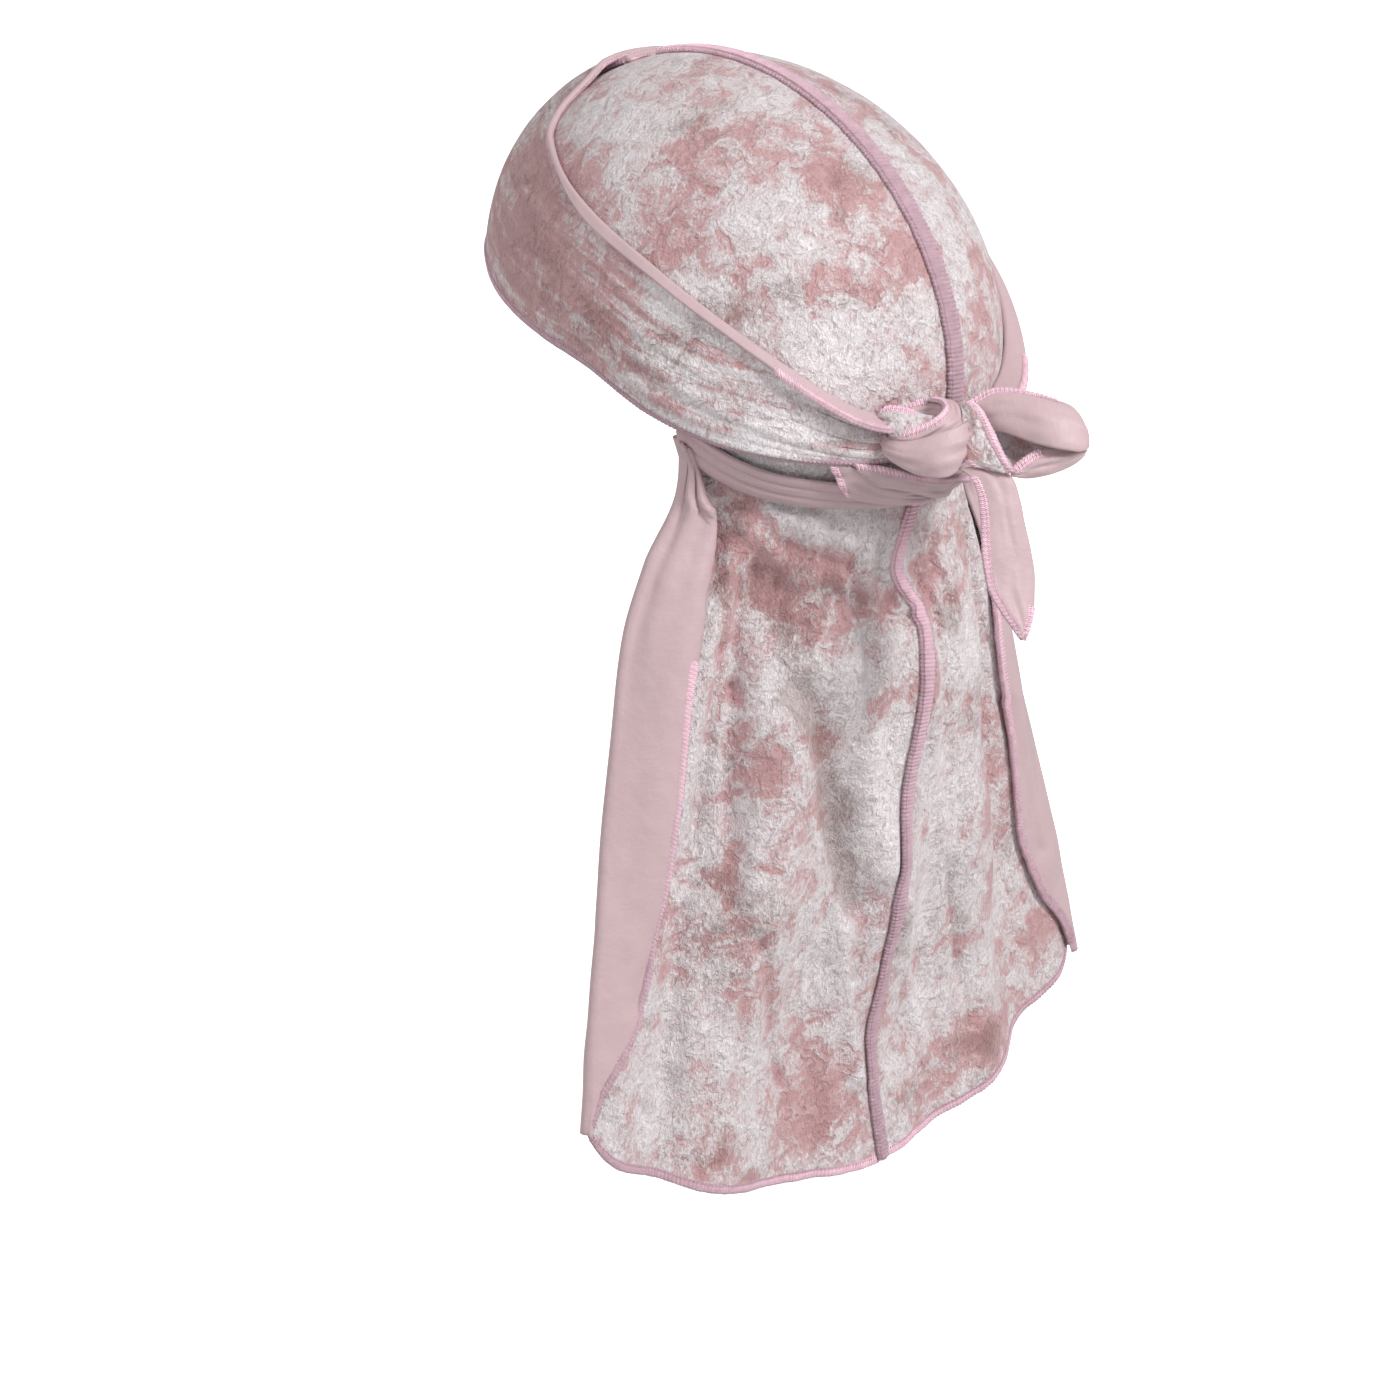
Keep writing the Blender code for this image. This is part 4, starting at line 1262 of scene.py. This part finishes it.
def velvet_finish(settings, drawn=False):
    """Crushed velvet: pile that lies silver where it is brushed up and rose where it turns.

    Drawn velvet is pulled tight along its UV map, so its silver lies in long streaks.
    """
    name = "drawn_velvet" if drawn else "crushed_velvet"
    known = bpy.data.materials.get(name)
    if known:
        return known
    material, tree, shader, place, uv = new_material(name)
    warp = node(tree, "ShaderNodeTexNoise", {"Vector": place, "Scale": 95.0, "Detail": 3.0})
    shift = node(
        tree, "ShaderNodeVectorMath", {0: warp.outputs["Color"], 1: (0.5, 0.5, 0.5)},
        operation="SUBTRACT",
    ).outputs[0]
    shift = node(tree, "ShaderNodeVectorMath", {0: shift, 3: 0.016}, operation="SCALE").outputs[0]
    bent = node(tree, "ShaderNodeVectorMath", {0: place, 1: shift}, operation="ADD").outputs[0]
    broad = noise_of(tree, bent, 26.0, 2.0, 0.5)
    blotches = noise_of(tree, bent, 80.0, 2.0, 0.55, 0.3)
    flecks = noise_of(tree, bent, 200.0, 3.0, 0.6, 0.5)
    specks = noise_of(tree, bent, 430.0, 2.0, 0.6, 0.4)
    fibres = noise_of(tree, scaled(tree, place, 1150.0, 1150.0, 560.0), 1.0, 3.0, 0.7, 0.8)
    pile = noise_of(tree, scaled(tree, place, 2900.0, 2900.0, 1200.0), 1.0, 2.0, 0.65, 0.4)
    # The pile's rose and silver spots, with painted shade and light from the creases and the recess
    rose = node(tree, "ShaderNodeAttribute", attribute_name="pile_and_painted_light").outputs["Fac"]
    # Painted shade along the creases' flanks, which greys and darkens the pile there
    painted_shade = node(tree, "ShaderNodeAttribute", attribute_name="painted_crease_shade").outputs["Fac"]
    if drawn:
        streaks = noise_of(tree, scaled(tree, uv, 210.0, 30.0, 1.0), 1.0, 3.0, 0.55, 0.6)
        parts = [(broad, 0.22), (streaks, 0.38), (flecks, 0.26), (fibres, 0.14)]
    else:
        parts = [(broad, 0.32), (blotches, 0.28), (flecks, 0.25), (fibres, 0.15)]
    lie = weighted(tree, *parts, (rose, -0.066), (painted_shade, -0.012))
    piles = (settings.pile_dark, settings.pile_mid, settings.pile_light)
    dark, mid, light = (Vector(tuple(colour)) for colour in piles)
    colour = ramp(
        tree, lie,
        (0.37, dark * 0.86),
        (0.42, dark),
        (0.448, dark.lerp(mid, 0.25)),
        (0.470, mid),
        (0.500, mid.lerp(light, 0.65)),
        (0.545, light),
        (0.62, light * 1.16),
    )
    silver = maths(tree, "MULTIPLY", maths(tree, "SUBTRACT", lie, 0.440), 16.0, clamp=True)
    hair = maths(tree, "ADD", 0.30, maths(tree, "MULTIPLY", silver, 0.46))
    fine = maths(tree, "MULTIPLY", centred(tree, pile), 0.8)
    grain = maths(tree, "ADD", centred(tree, fibres), fine)
    grain = maths(tree, "ADD", 1.0, maths(tree, "MULTIPLY", grain, hair))
    colour = blend(tree, 1.0, colour, grey(tree, grain), "MULTIPLY")
    speckle = maths(tree, "ADD", specks, maths(tree, "MULTIPLY", centred(tree, blotches), -0.5))
    speckle = ramp(tree, speckle, (0.345, (0.66, 0.585, 0.575)), (0.43, (1.0, 1.0, 1.0)))
    colour = blend(tree, 0.6, colour, speckle, "MULTIPLY")
    # Greyish taupe zones at random, with the creases' painted shade laid on them
    shade = noise_of(tree, bent, 34.0, 3.0, 0.6)
    shade = weighted(tree, (shade, 1.0), (centred(tree, fibres), 0.20), (painted_shade, -0.26))
    shade = ramp(tree, shade, (0.30, (0.66, 0.61, 0.59)), (0.43, (1.0, 1.0, 1.0)))
    colour = blend(tree, 0.9, colour, shade, "MULTIPLY")
    rough = maths(tree, "MULTIPLY", maths(tree, "SUBTRACT", lie, 0.40), -1.2)
    rough = maths(tree, "ADD", rough, 0.66, clamp=True)
    height = weighted(
        tree, (lie, 0.0042), (flecks, 0.0015), (specks, 0.0005), (fibres, 0.00035), (pile, 0.00010)
    )
    connect(tree, shader, {
        "Base Color": colour,
        "Roughness": rough,
        "Normal": bumped(tree, height, 0.9),
        "Sheen Weight": 0.30,
        "Sheen Roughness": 0.35,
        "Sheen Tint": (1.0, 0.93, 0.95, 1.0),
        "Specular IOR Level": 0.35,
    })
    return material


def satin_finish(settings):
    """The cloth's satin reverse: a fine close weave with a soft sheen."""
    known = bpy.data.materials.get("satin_reverse")
    if known:
        return known
    material, tree, shader, place, uv = new_material("satin_reverse")
    tone = place_group(tree, cloth_tone, {"Place": place, "Size": 30.0, "Depth": 0.10})
    colour = blend(tree, 1.0, (*settings.satin_colour, 1.0), tone["Tone"], "MULTIPLY")
    weave = place_group(tree, fine_weave, {"UV": uv, "Threads a metre": 1700.0})
    slub = noise_of(tree, scaled(tree, uv, 140.0, 1500.0, 1.0), 1.0, 3.0, 0.5)
    soft = noise_of(tree, place, 120.0, 3.0, 0.5)
    shade = maths(tree, "ADD", 0.86, weighted(tree, (weave["Height"], 0.10), (slub, 0.16)))
    colour = blend(tree, 1.0, colour, grey(tree, shade), "MULTIPLY")
    height = weighted(tree, (weave["Height"], 0.00006), (slub, 0.00008), (soft, 0.0014))
    connect(tree, shader, {
        "Base Color": colour,
        "Roughness": maths(tree, "ADD", 0.40, maths(tree, "MULTIPLY", tone["Value"], 0.16)),
        "Normal": bumped(tree, height, 0.6),
        "Sheen Weight": 0.12,
        "Sheen Roughness": 0.4,
        "Sheen Tint": (1.0, 0.9, 0.93, 1.0),
        "Specular IOR Level": 0.4,
    })
    return material


def thread_finish(settings):
    """Overlock thread: close pink stitches with painted highlights, painted shade in the gaps and
    faint needle holes.
    """
    known = bpy.data.materials.get("overlock_thread")
    if known:
        return known
    material, tree, shader, place, uv = new_material("overlock_thread")
    parts = node(tree, "ShaderNodeSeparateXYZ", {0: uv}).outputs
    wobble = centred(tree, noise_of(tree, place, 900.0, 2.0, 0.5))
    lines = maths(tree, "MULTIPLY", parts[1], math.pi / settings.stitch_pitch * 2)
    lean = maths(tree, "MULTIPLY", parts[0], 700.0)
    lines = maths(tree, "ADD", maths(tree, "ADD", lines, lean), wobble)
    strand = maths(tree, "ABSOLUTE", maths(tree, "SINE", lines))
    tone = place_group(tree, cloth_tone, {"Place": place, "Size": 320.0, "Depth": 0.30})
    # Painted shade in the gaps between stitches and painted highlights on their crests
    shade = maths(tree, "ADD", 0.60, maths(tree, "MULTIPLY", strand, 0.62))
    colour = blend(tree, 1.0, (*settings.thread_colour, 1.0), grey(tree, shade), "MULTIPLY")
    off_row = maths(tree, "ABSOLUTE", maths(tree, "SUBTRACT", parts[0], 0.0014))
    needle = maths(tree, "SUBTRACT", 1.0, maths(tree, "MULTIPLY", off_row, 2200.0), clamp=True)
    needle = maths(tree, "MULTIPLY", needle, maths(tree, "SUBTRACT", 1.2, strand), clamp=True)
    colour = blend(tree, needle, colour, (0.30, 0.12, 0.19, 1.0))
    colour = blend(tree, 1.0, colour, tone["Tone"], "MULTIPLY")
    connect(tree, shader, {
        "Base Color": colour,
        "Roughness": 0.62,
        "Normal": bumped(tree, maths(tree, "MULTIPLY", strand, 0.00020), 0.9),
        "Sheen Weight": 0.2,
        "Specular IOR Level": 0.3,
    })
    return material


def stage_finish():
    """The plain white floor and backdrop."""
    material, tree, shader, place, _ = new_material("white_paper")
    tone = place_group(tree, cloth_tone, {"Place": place, "Size": 2.0, "Depth": 0.01})
    colour = blend(tree, 1.0, (0.60, 0.60, 0.60, 1.0), tone["Tone"], "MULTIPLY")
    seen = tree.nodes.new("ShaderNodeLightPath").outputs["Is Camera Ray"]
    connect(tree, shader, {
        "Base Color": colour,
        "Roughness": 0.9,
        "Emission Color": (1.0, 1.0, 1.0, 1.0),
        "Emission Strength": maths(tree, "MULTIPLY", seen, 0.95),
    })
    return material


# Sizes and colours, then a step for each group of pieces


def colour_setting(name, description, default):
    """A colour that can be changed in the panel."""
    return bpy.props.FloatVectorProperty(
        name=name, description=description, default=default, subtype="COLOR", size=3,
        min=0.0, max=1.0,
    )


def length_setting(name, description, default, least=0.001):
    """A length of the stitching that can be changed in the panel."""
    return bpy.props.FloatProperty(
        name=name, description=description, default=default, unit="LENGTH", min=least, max=0.02
    )


class DuragSettings(bpy.types.PropertyGroup):
    """Sizes and colours of the durag."""

    pile_dark: colour_setting(
        "Dark pile", "Colour where the pile lies away from the light", (0.590, 0.345, 0.352)
    )
    pile_mid: colour_setting(
        "Half-turned pile", "Colour between the dark and light pile", (0.640, 0.480, 0.488)
    )
    pile_light: colour_setting(
        "Light pile", "Colour where the pile is brushed towards the light", (0.760, 0.703, 0.716)
    )
    satin_colour: colour_setting(
        "Satin", "Colour of the cloth's satin reverse", (0.540, 0.393, 0.410)
    )
    thread_colour: colour_setting(
        "Thread", "Colour of the overlock thread", (0.880, 0.580, 0.675)
    )
    stitch_pitch: length_setting(
        "Stitch pitch", "Distance from one overlock stitch to the next", 0.0015, 0.0005
    )
    edge_width: length_setting(
        "Edge stitch width", "How far the thread reaches in from a cut edge", 0.0038
    )
    edge_height: length_setting(
        "Edge stitch height", "Thickness of the thread over a cut edge", 0.0024
    )
    seam_width: length_setting(
        "Seam width", "Width of the raised seam between the two sides", RIDGE_WIDTH
    )
    floor_level: bpy.props.FloatProperty(
        name="Floor level", description="Height of the floor below the inside top of the crown",
        unit="LENGTH", default=-0.43,
    )


class CrownStep(bpy.types.Operator):
    """Make the two crown panels and the seam between them"""

    bl_idname = "durag.crown"
    bl_label = "Crown"

    def execute(self, context):
        settings = context.scene.durag
        velvet, satin = velvet_finish(settings), satin_finish(settings)
        for side in (1, -1):
            name = "crown_" + SIDES[side]["name"]
            outward = Vector((side * 0.5, 0, 1))
            rows = raised(crown_rows(side), outward, crown_relief)
            cloth(name + "_velvet", rows, outward, [velvet, satin], "velvet", [name])
        line, across, facing = [], [], []
        start = fan_turn(0, look_up(BROW_STRAP, 0, "upper") * HOLLOW_HEIGHT)
        stop = fan_turn(180, look_up(NAPE_STRAP, 180, "upper") * HOLLOW_HEIGHT + SEAM_INSET)
        for i in range(SEAM_STEPS + 1):
            turn = start + (stop - start) * i / SEAM_STEPS
            middle = fan_point(turn, 0.0, WALL + RIDGE_HEIGHT * 0.5)
            ahead = fan_point(turn + 0.01, 0.0, WALL + RIDGE_HEIGHT * 0.5)
            line.append(middle)
            across.append(Vector((1, 0, 0)))
            facing.append(Vector((1, 0, 0)).cross(ahead - middle).normalized())
        width = settings.seam_width
        piece = stitched(
            "crown_seam_thread", line, across, facing, width, SEAM_THICKNESS, settings
        )
        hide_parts("crown_seam")
        return {"FINISHED"}


class TailStep(bpy.types.Operator):
    """Make the two halves of the tail, their turned sides, their hems and their seam"""

    bl_idname = "durag.tail"
    bl_label = "Tail"

    def execute(self, context):
        settings = context.scene.durag
        velvet, satin = velvet_finish(settings), satin_finish(settings)
        outward = Vector((0, 1, 0))
        for side in (1, -1):
            name = "tail_" + SIDES[side]["name"]
            rows = tail_rows(side)
            cloth(
                name + "_velvet", rows, outward, [velvet, satin], "velvet", [name],
                even=False,
            )
            back = len(rows[0]) - 1
            edge = column_edge(rows, outward, back, back - 3, 0.29, 0.985)
            edge_thread(name + "_side_thread", edge, settings, 0.0006)
            edge = row_edge(rows, outward, -1, -4, TAIL_COLUMNS + 1)
            edge_thread(name + "_hem_thread", edge, settings, 0.0006)
        line, across, facing = [], [], []
        for i in range(SEAM_STEPS + 1):
            drop = i / SEAM_STEPS
            share = settings.seam_width / 2 / (TAIL_HALF_WIDTH * look_up(TAIL, drop, "width"))
            left, right = tail_surface(1, drop, share), tail_surface(-1, drop, share)
            middle = (left + right + (tail_surface(1, drop, 0.0) + tail_surface(-1, drop, 0.0))) / 4
            line.append(middle)
            across.append((left - right).normalized())
        for i in range(len(line)):
            along = line[min(i + 1, SEAM_STEPS)] - line[max(i - 1, 0)]
            facing.append(across[i].cross(along).normalized())
        line = [middle + away * (WALL / 2 + RIDGE_HEIGHT / 2) for middle, away in zip(line, facing)]
        width = settings.seam_width * TAIL_SEAM_WIDTH
        piece = stitched("tail_seam_thread", line, across, facing, width, SEAM_THICKNESS, settings)
        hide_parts("tail_seam")
        steps = [i / NAPE_SEAM_STEPS for i in range(NAPE_SEAM_STEPS + 1)]
        first, reach = NAPE_SEAM
        line = [nape_join(0.0, first + reach * step, WALL / 2) for step in steps]
        across = [Vector((1, 0, 0))] * len(line)
        facing = [outward] * len(line)
        stitched("nape_seam_thread", line, across, facing, width, WALL * 1.1, settings)
        return {"FINISHED"}


class BrowStrapStep(bpy.types.Operator):
    """Make the two wide straps round the brow, with their turned top edges"""

    bl_idname = "durag.brow_straps"
    bl_label = "Brow straps"

    def execute(self, context):
        settings = context.scene.durag
        velvet, satin = velvet_finish(settings, drawn=True), satin_finish(settings)
        for side in (1, -1):
            name = "brow_strap_" + SIDES[side]["name"]
            outward = Vector((side, 0, 0.2))
            rows = brow_strap_rows(side)
            cloth(name + "_velvet", rows, outward, [velvet, satin], "velvet", [name])
            top, fold = STRAP_COLUMNS, len(rows[0]) - 1
            edge = column_edge(rows, outward, 0, 3)
            edge_thread(name + "_lower_thread", edge, settings, 0.0008)
            edge = column_edge(rows, outward, top, top - 3, 0, 0.53)
            edge_thread(name + "_upper_thread", edge, settings, 0.0010)
            edge = column_edge(rows, outward, fold, fold - 2, 0.86, 1.0)
            edge_thread(name + "_fold_thread", edge, settings, 0.001, (0.8, 1.0))
            edge = row_edge(rows, outward, 0, 3, top + 1)
            edge_thread(name + "_front_thread", edge, settings, 0.0006)
        return {"FINISHED"}


class NapeStrapStep(bpy.types.Operator):
    """Make the pleated satin strap that draws the cloth in at the nape"""

    bl_idname = "durag.nape_strap"
    bl_label = "Nape strap"

    def execute(self, context):
        settings = context.scene.durag
        velvet, satin = velvet_finish(settings), satin_finish(settings)
        rows = nape_rows()
        outward = Vector((0, 1, 0))
        cloth("nape_strap_satin", rows, outward, [satin, velvet], "satin", ["nape_strap"])
        return {"FINISHED"}


class KnotStep(bpy.types.Operator):
    """Make the knot, the strap tucked under it, the bow and the loose end"""

    bl_idname = "durag.knot"
    bl_label = "Knot and bow"

    def execute(self, context):
        settings = context.scene.durag
        velvet, satin = velvet_finish(settings), satin_finish(settings)
        near = view_axes()[2]
        thin = (0.85, 0.8)
        front, back = [satin, velvet], [velvet, satin]
        pieces = (
            ("knot_wrap", KNOT_WRAP, front, ["knot_wrap"], {}),
            ("knot_roll", ROLL_FRONT, front, ["knot_roll"], {"a": (0.0, 0.9)}),
            ("roll_back", ROLL_BACK, front, [], {"a": (0.3, 1.0)}),
            ("roll_tongue", ROLL_TONGUE, back, [], {"a": (0.0, 0.7)}),
            ("bow_flap", BOW_FLAP, back, [], {"b": (0.0, 1.0), "a": (0.7, 1.0)}),
            ("bow_loop", LOOP_TOP, front, ["bow_loop"], {"a": (0.0, 0.65)}),
            ("loop_inside", LOOP_INSIDE, back, [], {}),
            ("loop_bottom", LOOP_BOTTOM, front, [], {"b": (0.55, 1.0)}),
            ("loose_end", LOOSE_END, front, ["loose_end"], {"a": (0.08, 1.0), "b": (0.72, 1.0)}),
            ("tuck_upper", TUCK_UPPER, front, ["strap_tuck"], {"a": (0.0, 1.0)}),
            ("tuck_lower", TUCK_LOWER, front, [], {"b": (0.7, 1.0)}),
        )
        narrow, wide = [], []
        for name, table, finishes, nodes, edges in pieces:
            rows = ribbon_rows(table, name.startswith("tuck"))
            data = grid_mesh(name + "_cloth", rows, near)
            mark_pile(data)
            slot = "satin" if finishes is front else "velvet"
            piece = add_piece(name + "_cloth", data, finishes, slot, *nodes)
            add_wall(piece, WALL * KNOT_THINNING, even=False)
            across = max(lengths(row)[-1] for row in rows)
            (wide if across > NARROW else narrow).append((piece, rows))
            for edge, (start, stop) in edges.items():
                column, inner = (0, 2) if edge == "a" else (RIBBON_COLUMNS, RIBBON_COLUMNS - 2)
                cut = column_edge(rows, near, column, inner, start, stop)
                edge_thread(f"{name}_{edge}_thread", cut, settings, 0.0005, thin)
        for piece, rows in wide:
            declare_sheet(rows)
        rows = ribbon_rows(TUCK_LOWER, True)
        edge_thread("tuck_start_thread", row_edge(rows, near, 0, 3), settings, 0.0005, thin)
        return {"FINISHED"}


class StageStep(bpy.types.Operator):
    """Set up the floor, the soft lights and the camera"""

    bl_idname = "durag.stage"
    bl_label = "Floor, lights and camera"

    def execute(self, context):
        settings = context.scene.durag
        scene = context.scene
        mesh = bmesh.new()
        bmesh.ops.create_grid(mesh, x_segments=1, y_segments=1, size=8.0)
        bmesh.ops.translate(mesh, verts=mesh.verts, vec=(0, 0, settings.floor_level))
        data = bpy.data.meshes.new("floor")
        mesh.to_mesh(data)
        mesh.free()
        floor = bpy.data.objects.new("floor", data)
        data.materials.append(stage_finish())
        scene.collection.objects.link(floor)
        world = bpy.data.worlds.new("studio")
        world.use_nodes = True
        sky = world.node_tree
        sky.nodes["Background"].inputs["Color"].default_value = (1, 1, 1, 1)
        seen = sky.nodes.new("ShaderNodeLightPath").outputs["Is Camera Ray"]
        strength = maths(sky, "ADD", 0.48, maths(sky, "MULTIPLY", seen, 0.50))
        sky.links.new(strength, sky.nodes["Background"].inputs["Strength"])
        scene.world = world
        scene.view_settings.view_transform = "Standard"
        right, up, near = view_axes()
        aim = Vector((0.0, 0.03, -0.18))
        for name, place, size, power in (
            ("key_light", right * 1.3 + up * 0.8 + near * 1.3, 0.6, 31.5),
            ("fill_light", right * -1.4 + up * 0.6 + near * 1.2, 1.6, 10.0),
            ("top_light", Vector((0, 0, 2.0)), 1.4, 0.5),
        ):
            lamp = bpy.data.lights.new(name, "AREA")
            lamp.shape = "DISK"
            lamp.size = size
            lamp.energy = power
            light = bpy.data.objects.new(name, lamp)
            light.location = aim + place
            light.rotation_euler = (-place).to_track_quat("-Z", "Y").to_euler()
            scene.collection.objects.link(light)
        lens = bpy.data.cameras.new("photo_view")
        lens.sensor_width = 36.0
        lens.lens = VIEW_LENS
        camera = bpy.data.objects.new("photo_view", lens)
        camera.location = camera_place()
        look = VIEW_AIM - camera.location
        camera.rotation_euler = look.to_track_quat("-Z", "Y").to_euler()
        scene.collection.objects.link(camera)
        scene.camera = camera
        return {"FINISHED"}


STEPS = (CrownStep, TailStep, BrowStrapStep, NapeStrapStep, KnotStep, StageStep)


class DuragPanel(bpy.types.Panel):
    """Sizes, colours and steps of the durag"""

    bl_idname = "VIEW3D_PT_durag"
    bl_label = "Velvet durag"
    bl_space_type = "VIEW_3D"
    bl_region_type = "UI"
    bl_category = "Durag"

    def draw(self, context):
        settings = context.scene.durag
        for name in DuragSettings.__annotations__:
            self.layout.prop(settings, name)
        for step in STEPS:
            self.layout.operator(step.bl_idname)


CLASSES = (DuragSettings, *STEPS, DuragPanel)


def register():
    for item in CLASSES:
        bpy.utils.register_class(item)
    bpy.types.Scene.durag = bpy.props.PointerProperty(type=DuragSettings)


def unregister():
    del bpy.types.Scene.durag
    for item in reversed(CLASSES):
        bpy.utils.unregister_class(item)


def main():
    register()
    bpy.ops.durag.crown()
    bpy.ops.durag.tail()
    bpy.ops.durag.brow_straps()
    bpy.ops.durag.nape_strap()
    bpy.ops.durag.knot()
    bpy.ops.durag.stage()


if __name__ == "__main__":
    main()
